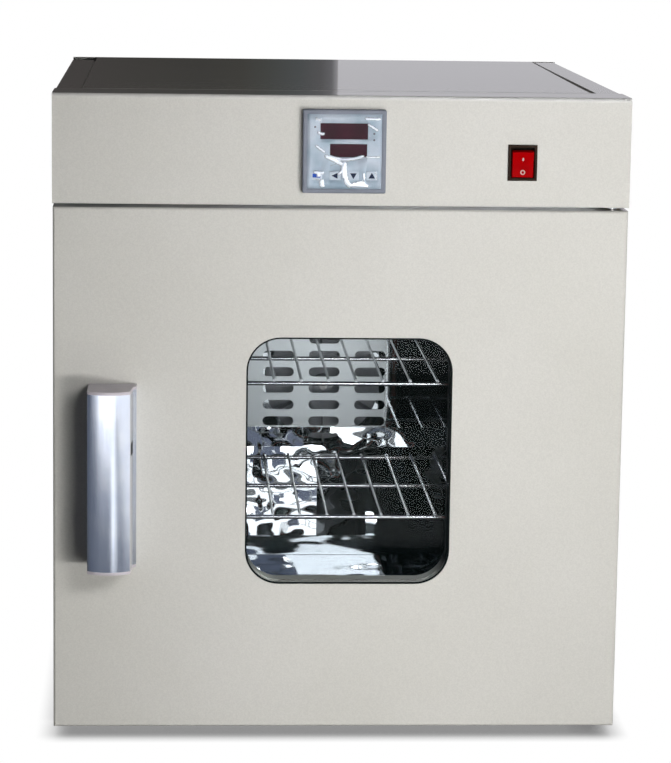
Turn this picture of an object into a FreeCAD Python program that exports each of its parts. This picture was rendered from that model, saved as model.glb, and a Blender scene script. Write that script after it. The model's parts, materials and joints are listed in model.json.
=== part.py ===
import FreeCAD, Part
import os
import re

import Sketcher
from FreeCAD import Placement, Rotation, Vector

# Dry heat sterilizer: a bench oven of folded sheet steel with a thick side hinged door, a mirror
# bright chamber behind a rounded window, and its controls above the door. All lengths are in
# millimetres. X runs to the right, Y to the rear and Z up, from the middle of the floor below it.

# Driving dimensions of each piece
SIZES = {
    # Cabinet
    "cabinet_width": 500,
    "cabinet_height": 561,
    "cabinet_depth": 535,
    "steel": 1.2,
    "bend": 3.5,
    "panel_height": 95,
    "front_strip": 60,
    "flange_width": 23,
    "top_seam": 1.6,
    "strip_seam": 0.3,
    "ledge_width": 10,
    "top_plate": 1.3,
    "left_flange_stop": 52,
    "right_flange_stop": 12,
    "pan_lip": 14,
    "overrun": 5,
    # Feet
    "foot_height": 10,
    "foot_radius": 15,
    "foot_taper": 3,
    "foot_inset": 45,
    "foot_setback": 32,
    "foot_recess_depth": 5,
    "foot_recess_radius": 6,
    "foot_screw_radius": 2.5,
    "foot_screw_head_radius": 4.6,
    "foot_screw_head": 2.6,
    # Door
    "door_thick": 50,
    "door_gap": 3,
    "door_bottom_gap": 0.6,
    "door_side_gap": 0.5,
    "door_edge": 2.2,
    "gasket_gap": 4.5,
    "gasket_width": 11,
    "gasket_margin": 5,
    "rest_gap": 0.3,
    "pan_steel": 1.0,
    "pan_play": 0.3,
    # Window
    "window_width": 180.5,
    "window_height": 220,
    "window_corner": 30,
    "window_shift": 8.8,
    "window_rise": 240.5,
    "lip_width": 1.5,
    "lip_depth": 6,
    "lip_edge": 0.8,
    "lip_flange": 7,
    "glass_thick": 4,
    "glass_margin": 6,
    "seal_thick": 1.5,
    "seal_width": 5,
    "spacer_wall": 7.5,
    "pane_gap": 15.5,
    "insulation_play": 0.5,
    # Hinges
    "pivot_inset": 12,
    "pivot_setback": 20,
    "pin_radius": 4,
    "pin_play": 0.05,
    "pin_depth": 14,
    "hinge_plate_width": 19,
    "hinge_plate_thick": 1.6,
    "hinge_plate_front": 9,
    "hinge_plate_tail": 30,
    "bush_radius": 7,
    "bush_play": 0.1,
    "bush_flange_radius": 10,
    "bush_flange": 3,
    "bush_length": 16,
    # Magnetic catch
    "catch_inset": 18,
    "catch_width": 12,
    "catch_height": 46,
    "catch_spacing": 250,
    "magnet_thick": 3,
    "strike_thick": 1,
    # Door pull
    "handle_projection": 48,
    "handle_inset": 49.8,
    "handle_rise": 229,
    "handle_height": 160,
    "grip_width": 36.8,
    "grip_crown": 6.5,
    "grip_wall": 3,
    "web_lean": 2.4,
    "web_step": 2.6,
    "web_step_depth": 14,
    "web_wall": 2.6,
    "foot_strip": 24,
    "foot_strip_thick": 2.5,
    "cap_thick": 2.5,
    "pull_slot_height": 11.5,
    "pull_slot_width": 17,
    "pull_slot_rise": 22.4,
    "pull_slot_depth": 37,
    "pull_screw_radius": 2.5,
    "pull_screw_head_radius": 4.5,
    "pull_screw_head": 2.2,
    "pull_screw_spacing": 110,
    # Chamber
    "side_wall": 80,
    "head_room": 166,
    "back_space": 154.3,
    "chamber_shift": 6,
    "chamber_rise": 70,
    "liner_steel": 1.0,
    "plenum_depth": 46,
    "back_insulation": 45,
    "top_insulation": 46,
    # Air baffle
    "baffle_play": 0.5,
    "baffle_air_gap": 20,
    "slot_width": 31,
    "slot_height": 9.4,
    "slot_column_pitch": 46,
    "slot_row_pitch": 16.7,
    # Wire shelves and their runners
    "wire_radius": 1.3,
    "rail_radius": 2,
    "wire_pitch": 24.4,
    "shelf_front": 6,
    "shelf_back_gap": 34,
    "shelf_side_gap": 9,
    "ledge_floor_gap": 44,
    "ledge_head_gap": 37,
    "runner_steel": 1,
    "runner_front": 4,
    "runner_back_gap": 15,
    "runner_margin": 18,
    "ledge_reach": 15,
    # Fan, motor and heater
    "fan_lift": 8.5,
    "fan_radius": 58,
    "fan_plate": 1.5,
    "fan_depth": 24,
    "fan_gap": 8,
    "blade_thick": 1.5,
    "blade_length": 26,
    "hub_radius": 9,
    "shaft_radius": 4,
    "shaft_play": 0.05,
    "shaft_clearance": 1.5,
    "motor_radius": 36,
    "motor_length": 34,
    "motor_plate": 2,
    "motor_standoff": 9,
    "motor_plate_size": 92,
    "post_radius": 4,
    "heater_ring": 78,
    "heater_radius": 4,
    "heater_pitch": 14,
    "heater_gap_angle": 24,
    "heater_clearance": 0.6,
    "heater_tail": 12,
    # Probes and vent
    "probe_radius": 2.5,
    "probe_play": 0.2,
    "probe_reach": 40,
    "probe_inset": 30,
    "probe_spacing": 26,
    "probe_head_radius": 6,
    "probe_head": 14,
    "vent_inset": 58,
    "vent_drop": 36,
    "vent_radius": 13,
    "vent_wall": 1.5,
    "vent_projection": 30,
    "vent_cap": 2,
    "damper_thick": 4,
    "damper_radius": 17,
    "damper_hole": 4,
    "damper_hole_place": 7.2,
    "damper_pin_radius": 2,
    "damper_head_radius": 4,
    "damper_head": 1.5,
    "damper_rib": 1,
    # Controller
    "controller_shift": 1,
    "controller_drop": 47.5,
    "controller_size": 72,
    "controller_proud": 8,
    "controller_edge": 1.5,
    "controller_case_size": 67,
    "controller_case_depth": 78,
    "controller_cutout": 68,
    "face_size": 65,
    "face_depth": 1,
    "face_wall": 2,
    "upper_display_width": 41,
    "upper_display_height": 13.8,
    "upper_display_lift": 17.4,
    "upper_display_shift": -0.4,
    "lower_display_width": 32,
    "lower_display_height": 11.5,
    "lower_display_lift": 0.8,
    "lower_display_shift": 3.5,
    "display_thick": 1.4,
    "key_width": 9.6,
    "key_height": 7.6,
    "key_drop": 20.8,
    "key_pitch": 15.9,
    "key_proud": 0.7,
    "key_play": 0.3,
    "key_flange": 0.8,
    "key_flange_thick": 1,
    "film_thick": 0.15,
    "film_gap": 0.4,
    "film_margin": 1.5,
    # Rocker switch
    "rocker_shift": 155.8,
    "rocker_drop": 56.4,
    "rocker_frame_width": 25.4,
    "rocker_frame_height": 31.2,
    "rocker_frame_proud": 2.6,
    "rocker_frame_wall": 2.2,
    "rocker_body_depth": 20,
    "rocker_body_wall": 1.0,
    "rocker_play": 0.5,
    "rocker_end_proud": 6,
    "rocker_middle_proud": 4,
    "rocker_root_depth": 5,
    "rocker_root_height": 12,
    "rocker_pivot_depth": 3,
    "rocker_tilt": 9,
    "rocker_height_play": 1.5,
    # Electrics and rear
    "relay_width": 58,
    "relay_depth": 45,
    "relay_height": 24,
    "sink_height": 36,
    "sink_fin": 2,
    "sink_fin_count": 9,
    "sink_base": 5,
    "relay_side": 60,
    "relay_setback": 180,
    "terminal_width": 64,
    "terminal_depth": 22,
    "terminal_height": 16,
    "terminal_side": -40,
    "terminal_setback": 320,
    "limiter_width": 40,
    "limiter_depth": 34,
    "limiter_height": 30,
    "limiter_side": -150,
    "limiter_setback": 180,
    "inlet_width": 50,
    "inlet_height": 27,
    "inlet_flange": 2.5,
    "inlet_depth": 26,
    "inlet_wall": 2.5,
    "inlet_side": 150,
    "inlet_rise": 60,
    "inlet_pin_radius": 1.6,
    "inlet_pin_pitch": 12,
    "inlet_pin_length": 14,
    "louvre_width": 70,
    "louvre_height": 4,
    "louvre_pitch": 11,
    "louvre_count": 8,
    "louvre_side": 110,
    "louvre_rise": 150,
    "rear_screw_radius": 1.6,
    "rear_screw_head_radius": 3.6,
    "rear_screw_head": 2,
    "rear_screw_inset": 9,
    "rear_flange": 16,
    "pull_screw_length": 10,
    "rocker_pivot_radius": 1.2,
    "weld_sink": 0.4,
    "lip_play": 0.1,
}

# Places worked out from the driving dimensions
PLACES = {
    "half_width": "cabinet_width / 2",
    "total_depth": "handle_projection + cabinet_depth + vent_projection",
    "front_face": "handle_projection - total_depth / 2",
    "rear_face": "front_face + cabinet_depth",
    "rear_inside": "rear_face - steel",
    "base_level": "foot_height",
    "top_level": "base_level + cabinet_height",
    "panel_level": "top_level - panel_height",
    "door_top": "panel_level - door_gap",
    "door_bottom": "base_level + door_bottom_gap",
    "door_back": "front_face + door_thick",
    "body_front": "door_back + gasket_gap",
    "frame_back": "body_front + steel",
    "strip_back": "front_face + front_strip",
    "inside_width": "cabinet_width - 2 * steel",
    "chamber_width": "cabinet_width - 2 * side_wall",
    "chamber_height": "cabinet_height - chamber_rise - head_room",
    "chamber_depth": "cabinet_depth - door_thick - gasket_gap - steel - back_space",
    "chamber_left": "chamber_shift - chamber_width / 2",
    "chamber_floor": "base_level + chamber_rise",
    "chamber_top": "chamber_floor + chamber_height",
    "baffle_front": "frame_back + chamber_depth",
    "baffle_back": "baffle_front + liner_steel",
    "liner_inside_back": "baffle_back + plenum_depth",
    "liner_back": "liner_inside_back + liner_steel",
    "bulkhead_front": "liner_back + back_insulation",
    "bulkhead_back": "bulkhead_front + steel",
    "tray_level": "chamber_top + liner_steel + top_insulation",
    "tray_top": "tray_level + steel",
    "fan_level": "chamber_floor + chamber_height / 2 + fan_lift",
    "ledge_pitch": "(chamber_height - ledge_floor_gap - ledge_head_gap) / 4",
    "shelf_level": "ledge_floor_gap + ledge_pitch",
    "shelf_rise": "2 * ledge_pitch",
    "shelf_length": "chamber_depth - shelf_front - shelf_back_gap",
    "shelf_width": "chamber_width - 2 * shelf_side_gap",
    "runner_length": "chamber_depth - runner_front - runner_back_gap",
    "window_level": "base_level + window_rise",
    "inner_window_width": "window_width - 2 * lip_width",
    "inner_window_height": "window_height - 2 * lip_width",
    "inner_window_corner": "window_corner - lip_width",
    "mouth_width": "window_width - 2 * lip_edge",
    "mouth_height": "window_height - 2 * lip_edge",
    "mouth_corner": "window_corner - lip_edge",
    "lip_flange_width": "window_width + 2 * lip_flange",
    "lip_flange_height": "window_height + 2 * lip_flange",
    "lip_flange_corner": "window_corner + lip_flange",
    "glass_width": "window_width + 2 * glass_margin",
    "glass_height": "window_height + 2 * glass_margin",
    "glass_corner": "window_corner + glass_margin",
    "seal_hole_width": "glass_width - 2 * seal_width",
    "seal_hole_height": "glass_height - 2 * seal_width",
    "seal_hole_corner": "glass_corner - seal_width",
    "spacer_hole_width": "glass_width - 2 * spacer_wall",
    "spacer_hole_height": "glass_height - 2 * spacer_wall",
    "spacer_hole_corner": "glass_corner - spacer_wall",
    "pan_window_width": "glass_width - 2 * pan_steel",
    "pan_window_height": "glass_height - 2 * pan_steel",
    "pan_window_corner": "glass_corner - pan_steel",
    "padding_hole_width": "lip_flange_width + 2 * insulation_play",
    "padding_hole_height": "lip_flange_height + 2 * insulation_play",
    "padding_hole_corner": "lip_flange_corner + insulation_play",
    "front_seal_place": "front_face + lip_depth",
    "outer_glass_place": "front_seal_place + seal_thick",
    "spacer_place": "outer_glass_place + glass_thick",
    "inner_glass_place": "spacer_place + pane_gap",
    "back_seal_place": "inner_glass_place + glass_thick",
    "collar_place": "back_seal_place + seal_thick",
    "pan_front": "door_back - pan_steel",
    "door_width": "cabinet_width - 2 * door_side_gap",
    "door_height": "door_top - door_bottom",
    "pivot_x": "half_width - pivot_inset",
    "pivot_y": "front_face + pivot_setback",
    "handle_x": "-half_width + handle_inset",
    "handle_level": "base_level + handle_rise",
    "handle_bottom": "handle_level - handle_height / 2",
    "crown_radius": "(grip_width ^ 2 / 4 + grip_crown ^ 2) / (2 * grip_crown)",
    "handle_front": "front_face - handle_projection",
    "controller_level": "top_level - controller_drop",
    "controller_front": "front_face - controller_proud",
    "face_front": "controller_front + face_depth",
    "key_level": "controller_level - key_drop",
    "rocker_level": "top_level - rocker_drop",
    "rocker_width": "rocker_frame_width - 2 * rocker_frame_wall - 2 * rocker_play",
    "rocker_height": "rocker_frame_height - 2 * rocker_frame_wall - 2 * rocker_height_play",
    "vent_x": "chamber_left + vent_inset",
    "vent_level": "chamber_top - vent_drop",
    "vent_end": "rear_face + vent_projection - damper_thick - damper_head - 2 * rest_gap",
    "motor_front": "bulkhead_back + motor_standoff + motor_plate",
    "motor_back": "motor_front + motor_length",
    "lip_outer_width": "window_width - 2 * lip_play",
    "lip_outer_height": "window_height - 2 * lip_play",
    "lip_outer_corner": "window_corner - lip_play",
}

PARTS_FOLDER = "parts"
WORD = r"[a-z][a-z_0-9]*"
TOLERANCE = 1e-4
RAIL_SHARES = (0, 0.5, 1)
HEATER_MIDDLES = (90, 270)
BLADE_COUNT = 12
RIB_COUNT = 18
KEY_COUNT = 4
TERMINAL_COUNT = 5
MOTOR_RIM_SHARE = 8
HINGE_CORNER_SHARE = 2.5

doc = FreeCAD.newDocument("dry_heat_sterilizer")
nodes = {}


def qualified(formula):
    """Write each named size or place in a formula with the sheet that holds it."""
    def with_sheet(match):
        word = match.group(0)
        if word in SIZES:
            return "sizes." + word
        if word in PLACES:
            return "places." + word
        return word
    return re.sub(WORD, with_sheet, formula)


def make_sheets():
    """Put the sizes in one sheet and the places, as formulas of them, in a second."""
    sizes = doc.addObject("Spreadsheet::Sheet", "sizes")
    for row, (word, size) in enumerate(SIZES.items(), 1):
        sizes.set(f"A{row}", word)
        sizes.set(f"B{row}", str(size))
        sizes.setAlias(f"B{row}", word)
    doc.recompute()
    places = doc.addObject("Spreadsheet::Sheet", "places")
    for row, (word, formula) in enumerate(PLACES.items(), 1):
        places.set(f"A{row}", word)
        places.setAlias(f"B{row}", word)
    for row, (word, formula) in enumerate(PLACES.items(), 1):
        places.set(f"B{row}", "=" + qualified(formula))
    doc.recompute()
    return sizes, places


sizes, places = make_sheets()


def number(word):
    """The value of a named size or place."""
    sheet = sizes if word in SIZES else places
    return float(sheet.get(word))


def bind(item, **formulas):
    """Bind properties of an object to formulas of the sheets."""
    for name, formula in formulas.items():
        item.setExpression(name, qualified(formula))
    return item


def put(item, place):
    """Bind the position of an object to three formulas."""
    for axis, formula in zip("xyz", place):
        item.setExpression("Placement.Base." + axis, qualified(formula))
    return item


TURNS = {
    "Z": Rotation(),
    "Y": Rotation(Vector(1, 0, 0), -90),
    "X": Rotation(Vector(0, 1, 0), 90),
}


def block(name, corner, extent):
    """A box from its lowest corner and its extents along X, Y and Z."""
    item = doc.addObject("Part::Box", name)
    bind(item, Length=extent[0], Width=extent[1], Height=extent[2])
    return put(item, corner)


def rod(name, start, radius, length, along="Z"):
    """A cylinder from the middle of its first end, along X, Y or Z."""
    item = doc.addObject("Part::Cylinder", name)
    item.Placement = Placement(Vector(), TURNS[along])
    bind(item, Radius=radius, Height=length)
    return put(item, start)


def join(name, items):
    """One solid from several that touch or overlap."""
    item = doc.addObject("Part::MultiFuse", name)
    item.Shapes = items
    item.Refine = True
    return item


def group(name, items):
    """Separate solids kept together."""
    item = doc.addObject("Part::Compound", name)
    item.Links = items
    return item


def cut(name, base, tools):
    """A solid with one or more tools taken out of it."""
    item = doc.addObject("Part::Cut", name)
    item.Base = base
    item.Tool = tools[0] if len(tools) == 1 else group(name + "_tools", tools)
    item.Refine = True
    return item


def direction(edge):
    """The unit direction of a straight edge, or None."""
    if not isinstance(edge.Curve, Part.Line):
        return None
    start, end = (vertex.Point for vertex in edge.Vertexes)
    return (end - start).normalize()


def runs_along(edge, axis):
    """Whether an edge is straight and parallel to an axis."""
    way = direction(edge)
    return way is not None and abs(abs(getattr(way, axis)) - 1) < TOLERANCE


def soften(name, base, radius, choose):
    """Round the chosen edges of a solid."""
    doc.recompute()
    item = doc.addObject("Part::Fillet", name)
    item.Base = base
    item.Edges = [(index, radius, radius) for index, edge in enumerate(base.Shape.Edges, 1)
                  if choose(edge)]
    return item


def body(name):
    """An empty PartDesign body."""
    return doc.addObject("PartDesign::Body", name)


def sketch_on(owner, name, role, offset="0"):
    """A sketch on one of the body's own origin planes, moved along its normal by a formula."""
    sketch = owner.newObject("Sketcher::SketchObject", name)
    plane = [item for item in owner.Origin.OriginFeatures if item.Role == role][0]
    sketch.AttachmentSupport = [(plane, "")]
    sketch.MapMode = "FlatFace"
    sketch.setExpression("AttachmentOffset.Base.z", qualified(offset))
    return sketch


def fix_point(sketch, geometry, point, start, place):
    """Hold a point of a sketch at two formulas."""
    for kind, value, formula in zip(("DistanceX", "DistanceY"), start, place):
        index = sketch.addConstraint(Sketcher.Constraint(kind, -1, 1, geometry, point, value))
        sketch.setExpression(f"Constraints[{index}]", qualified(formula))


def draw_outline(sketch, corners):
    """A closed outline of straight edges through corners given as formulas."""
    count = len(corners)
    starts = [Rotation(Vector(0, 0, 1), 360 * index / count).multVec(Vector(1, 0, 0))
              for index in range(count)]
    for index in range(count):
        following = (index + 1) % count
        sketch.addGeometry(Part.LineSegment(starts[index], starts[following]), False)
    for index in range(count):
        following = (index + 1) % count
        sketch.addConstraint(Sketcher.Constraint("Coincident", index, 2, following, 1))
    for index, corner in enumerate(corners):
        fix_point(sketch, index, 1, (starts[index].x, starts[index].y), corner)
    return sketch


def draw_rounded(sketch, width, height, corner):
    """A rectangle about the origin with four round corners, all three named in the sheets."""
    half_x = number(width) / 2 - number(corner)
    half_y = number(height) / 2 - number(corner)
    radius = number(corner)
    turns = ((1, 1, 0), (-1, 1, 90), (-1, -1, 180), (1, -1, 270))
    ends = []
    for side_x, side_y, angle in turns:
        centre = Vector(side_x * half_x, side_y * half_y, 0)
        circle = Part.Circle(centre, Vector(0, 0, 1), radius)
        arc = Part.ArcOfCircle(circle, FreeCAD.Units.Quantity(f"{angle} deg").getValueAs("rad").Value,
                               FreeCAD.Units.Quantity(f"{angle + 90} deg").getValueAs("rad").Value)
        sketch.addGeometry(arc, False)
        ends.append((arc.StartPoint, arc.EndPoint))
    for index in range(4):
        following = (index + 1) % 4
        sketch.addGeometry(Part.LineSegment(ends[index][1], ends[following][0]), False)
    for index in range(4):
        following = (index + 1) % 4
        sketch.addConstraint(Sketcher.Constraint("Tangent", index, 2, 4 + index, 1))
        sketch.addConstraint(Sketcher.Constraint("Tangent", 4 + index, 2, following, 1))
    for index, (side_x, side_y, angle) in enumerate(turns):
        place = (f"{side_x} * ({width} / 2 - {corner})", f"{side_y} * ({height} / 2 - {corner})")
        fix_point(sketch, index, 3, (side_x * half_x, side_y * half_y), place)
    first = sketch.addConstraint(Sketcher.Constraint("Radius", 0, radius))
    sketch.setExpression(f"Constraints[{first}]", qualified(corner))
    for index in range(1, 4):
        sketch.addConstraint(Sketcher.Constraint("Equal", 0, index))
    return sketch


def pad(owner, name, sketch, length, reverse=False):
    """Raise a sketch to a solid."""
    item = owner.newObject("PartDesign::Pad", name)
    item.Profile = sketch
    item.Reversed = reverse
    bind(item, Length=length)
    owner.Tip = item
    return item


def round_edges(owner, name, base, radius, choose):
    """Round chosen edges of the last feature of a body, with a bound radius."""
    doc.recompute()
    names = [f"Edge{index}" for index, edge in enumerate(base.Shape.Edges, 1) if choose(edge)]
    item = owner.newObject("PartDesign::Fillet", name)
    item.Base = (base, names)
    item.Radius = number(radius)
    bind(item, Radius=radius)
    owner.Tip = item
    return item


def prism(name, role, corners, length, place, reverse=False):
    """A body raised from a straight edged outline."""
    owner = body(name)
    sketch = draw_outline(sketch_on(owner, name + "_outline", role), corners)
    pad(owner, name + "_pad", sketch, length, reverse)
    return put(owner, place)


def rounded_plate(name, width, height, corner, thick, place):
    """A plate facing the front, with round corners, from the middle of its front face."""
    owner = body(name)
    sketch = draw_rounded(sketch_on(owner, name + "_outline", "XZ_Plane"), width, height, corner)
    pad(owner, name + "_pad", sketch, thick, True)
    return put(owner, place)


def cutter(name, width, height, corner, place, depth):
    """A rounded tool that goes right through something at a place along Y."""
    front = (place[0], f"{place[1]} - overrun", place[2])
    return rounded_plate(name, width, height, corner, f"{depth} + 2 * overrun", front)


def hole(name, x, y, z, radius, depth, along="Y"):
    """A round tool that overruns both faces of a wall."""
    start = {"X": (f"{x} - overrun", y, z), "Y": (x, f"{y} - overrun", z),
             "Z": (x, y, f"{z} - overrun")}[along]
    return rod(name, start, radius, f"{depth} + 2 * overrun", along)


def node(name, item):
    """Name a finished piece. Its label is also the name of its file."""
    item.Label = name
    nodes[name] = item
    return item


def make_side_panel(name, side, flange_stop):
    """A side sheet with a flange over the top, a ledge for the top cover and a rear return."""
    inner = f"{side} * (half_width - steel / 2) - steel / 2"
    wall = block(name + "_wall", (inner, "front_face + steel", "base_level"),
                 ("steel", "rear_inside - front_face - steel", "top_level - base_level"))
    over = "flange_width"
    flange_x = f"{side} * (half_width - flange_width / 2) - flange_width / 2"
    flange = block(name + "_flange", (flange_x, "strip_back + strip_seam", "top_level - steel"),
                   (over, f"rear_inside - strip_back - strip_seam - {flange_stop}", "steel"))
    reach = "flange_width - steel + ledge_width"
    ledge_x = f"{side} * (half_width - steel - ({reach}) / 2) - ({reach}) / 2"
    ledge = block(name + "_ledge",
                  (ledge_x, "strip_back + strip_seam", "top_level - 2 * steel"),
                  (reach, f"rear_inside - strip_back - strip_seam - {flange_stop}", "steel"))
    return_x = f"{side} * (half_width - steel - rear_flange / 2) - rear_flange / 2"
    rear_return = block(name + "_return", (return_x, "rear_inside - steel", "base_level + steel"),
                        ("rear_flange", "steel", "top_level - base_level - 3 * steel"))
    blank = join(name + "_blank", [wall, flange, ledge, rear_return])
    top_edge = soften(name + "_bent", blank, number("bend"), lambda edge: (
        runs_along(edge, "y") and abs(edge.CenterOfMass.z - number("top_level")) < TOLERANCE
        and abs(abs(edge.CenterOfMass.x) - number("half_width")) < TOLERANCE
        and edge.Length > number("chamber_depth")))
    door_notch = block(name + "_door_notch",
                       (f"{inner} - overrun", "front_face", "base_level - overrun"),
                       ("steel + 2 * overrun", "body_front - front_face",
                        "panel_level + steel - base_level + overrun"))
    strip_notch = block(name + "_strip_notch",
                        (f"{inner} - overrun", "front_face", "top_level - steel"),
                        ("steel + 2 * overrun", "strip_back + strip_seam - front_face",
                         "steel + overrun"))
    return node(name, cut(name + "_cut", top_edge, [door_notch, strip_notch]))


def make_top_cover():
    """The top plate that rests on the ledges of the side panels."""
    left = "-half_width + flange_width + top_seam"
    plate = block("top_cover_plate", (left, "strip_back + strip_seam", "top_level - steel"),
                  (f"-2 * ({left})", "rear_inside - strip_back - strip_seam", "top_plate"))
    return node("top_cover", soften("top_cover_edges", plate, number("top_plate") / 4, lambda edge: (
        edge.CenterOfMass.z > number("top_level"))))


def make_control_fascia():
    """The folded front sheet above the door, cut out for the controller and the switch."""
    owner = body("control_fascia_sheet")
    profile = draw_outline(sketch_on(owner, "fascia_profile", "YZ_Plane"), [
        ("0", "0"), ("body_front - front_face", "0"), ("body_front - front_face", "steel"),
        ("steel", "steel"), ("steel", "panel_height - steel"),
        ("front_strip", "panel_height - steel"), ("front_strip", "panel_height"),
        ("0", "panel_height")])
    sheet = pad(owner, "fascia_pad", profile, "cabinet_width")
    outer = round_edges(owner, "fascia_outer_bend", sheet, "bend", lambda edge: (
        runs_along(edge, "x") and abs(edge.CenterOfMass.y) < TOLERANCE
        and edge.CenterOfMass.z > number("panel_height") / 2))
    lower = round_edges(owner, "fascia_lower_bend", outer, "steel", lambda edge: (
        runs_along(edge, "x") and abs(edge.CenterOfMass.y) < TOLERANCE
        and edge.CenterOfMass.z < number("panel_height") / 2))
    put(owner, ("-half_width", "front_face", "panel_level"))
    half_cutout = "controller_cutout / 2"
    controller_hole = block("controller_hole",
                            (f"controller_shift - {half_cutout}", "front_face - overrun",
                             f"controller_level - {half_cutout}"),
                            ("controller_cutout", "steel + 2 * overrun", "controller_cutout"))
    rocker_hole = block("rocker_hole", (
        "rocker_shift - rocker_frame_width / 2 + rocker_frame_wall / 2", "front_face - overrun",
        "rocker_level - rocker_frame_height / 2 + rocker_frame_wall / 2"),
        ("rocker_frame_width - rocker_frame_wall", "steel + 2 * overrun",
         "rocker_frame_height - rocker_frame_wall"))
    return node("control_fascia", cut("control_fascia_cut", owner, [controller_hole, rocker_hole]))


def make_rear_panel():
    """The flat rear sheet with its louvres, vent hole, inlet opening and screw holes."""
    sheet = block("rear_panel_sheet", ("-half_width", "rear_inside", "base_level"),
                  ("cabinet_width", "steel", "top_level - base_level"))
    tools = [hole("rear_vent_hole", "vent_x", "rear_inside", "vent_level",
                  "vent_radius + probe_play", "steel")]
    for side in (-1, 1):
        for row in range(int(number("louvre_count"))):
            tools.append(block(f"louvre_{side + 1}_{row}", (
                f"{side} * louvre_side - louvre_width / 2", "rear_inside - overrun",
                f"base_level + louvre_rise + {row} * louvre_pitch"),
                ("louvre_width", "steel + 2 * overrun", "louvre_height")))
    tools.append(block("inlet_hole", (
        "inlet_side - inlet_width / 2 + inlet_wall", "rear_inside - overrun",
        "base_level + inlet_rise - inlet_height / 2 + inlet_wall"),
        ("inlet_width - 2 * inlet_wall", "steel + 2 * overrun", "inlet_height - 2 * inlet_wall")))
    for index, (x, z) in enumerate(rear_screw_places()):
        tools.append(hole(f"rear_screw_hole_{index}", x, "rear_inside", z, "rear_screw_radius",
                          "steel"))
    return node("rear_panel", cut("rear_panel_cut", sheet, tools))


def rear_screw_places():
    """The middles of the rear panel's screws, four down each side."""
    spots = []
    for side in (-1, 1):
        for quarter in range(4):
            spots.append((f"{side} * (half_width - rear_screw_inset)",
                          f"base_level + cabinet_height * ({2 * quarter} + 1) / 8"))
    return spots


def make_rear_screws():
    """Pan head screws through the rear panel into the side panels' returns."""
    screws = []
    for index, (x, z) in enumerate(rear_screw_places()):
        head = rod(f"rear_screw_head_{index}", (x, "rear_face", z), "rear_screw_head_radius",
                   "rear_screw_head", "Y")
        shank = rod(f"rear_screw_shank_{index}", (x, "rear_inside", z), "rear_screw_radius",
                    "steel", "Y")
        screws.append(join(f"rear_screw_{index}", [head, shank]))
    return node("rear_screws", group("rear_screw_set", screws))


def make_base_pan():
    """The base sheet with a lip turned up at the front and at the rear."""
    length = "rear_inside - body_front"
    pan = prism("base_pan_sheet", "YZ_Plane", [
        ("0", "0"), (length, "0"), (length, "pan_lip"), (f"{length} - steel", "pan_lip"),
        (f"{length} - steel", "steel"), ("steel", "steel"), ("steel", "pan_lip"),
        ("0", "pan_lip")], "inside_width", ("-inside_width / 2", "body_front", "base_level"))
    tools = [hole(f"foot_hole_{index}", x, y, "base_level", "foot_screw_radius", "steel", "Z")
             for index, (x, y) in enumerate(foot_places())]
    rear_corners = [block(f"base_corner_{side + 1}", (
        f"{side} * (inside_width / 2 - rear_flange / 2) - rear_flange / 2 - rest_gap",
        "rear_inside - steel - overrun", "base_level + steel"),
        ("rear_flange + 2 * rest_gap", "steel + 2 * overrun", "pan_lip"))
        for side in (-1, 1)]
    return node("base_pan", cut("base_pan_cut", pan, tools + rear_corners))


def foot_places():
    """The middles of the four feet."""
    return [(f"{side} * (half_width - foot_inset)", y) for side in (-1, 1)
            for y in ("body_front + foot_setback", "rear_face - foot_inset")]


def make_feet():
    """Tapered rubber feet with a recess for the screw, and their screws."""
    feet = []
    screws = []
    for index, (x, y) in enumerate(foot_places()):
        owner = body(f"foot_{index}")
        profile = draw_outline(sketch_on(owner, f"foot_profile_{index}", "XZ_Plane"), [
            ("foot_recess_radius", "0"), ("foot_radius - foot_taper", "0"),
            ("foot_radius", "foot_height"), ("foot_screw_radius", "foot_height"),
            ("foot_screw_radius", "foot_recess_depth"),
            ("foot_recess_radius", "foot_recess_depth")])
        turned = owner.newObject("PartDesign::Revolution", f"foot_turned_{index}")
        turned.Profile = profile
        turned.ReferenceAxis = (profile, ["V_Axis"])
        owner.Tip = turned
        feet.append(put(owner, (x, y, "0")))
        head = rod(f"foot_screw_head_{index}", (x, y, "foot_recess_depth - foot_screw_head"),
                   "foot_screw_head_radius", "foot_screw_head")
        shank = rod(f"foot_screw_shank_{index}", (x, y, "foot_recess_depth"),
                    "foot_screw_radius", "foot_height - foot_recess_depth + steel")
        screws.append(join(f"foot_screw_{index}", [head, shank]))
    node("feet", group("foot_set", feet))
    node("foot_screws", group("foot_screw_set", screws))


def make_front_frame():
    """The flat collar between the cabinet and the mouth of the chamber."""
    sheet = block("front_frame_sheet", ("-inside_width / 2", "body_front", "base_level + pan_lip"),
                  ("inside_width", "steel", "panel_level - base_level - pan_lip + steel"))
    mouth = block("front_frame_mouth", ("chamber_left", "body_front - overrun", "chamber_floor"),
                  ("chamber_width", "steel + 2 * overrun", "chamber_height"))
    return node("front_frame", cut("front_frame_cut", sheet, [mouth]))


def back_wall_tools(name, place, depth):
    """Tools for the shaft, the heater legs, the probes and the vent through one back wall."""
    tools = [hole(f"{name}_shaft_hole", "chamber_shift", place, "fan_level",
                  "shaft_radius + shaft_clearance", depth)]
    for index, (x, z) in enumerate(heater_leg_places()):
        tools.append(hole(f"{name}_heater_hole_{index}", x, place, z,
                          "heater_radius + heater_clearance", depth))
    for index, (x, z) in enumerate(probe_places()):
        tools.append(hole(f"{name}_probe_hole_{index}", x, place, z, "probe_radius + probe_play",
                          depth))
    return tools


def vent_tool(name, place, depth, margin="probe_play"):
    """The tool for the vent tube through one back wall."""
    return hole(f"{name}_vent_hole", "vent_x", place, "vent_level", f"vent_radius + {margin}", depth)


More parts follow.
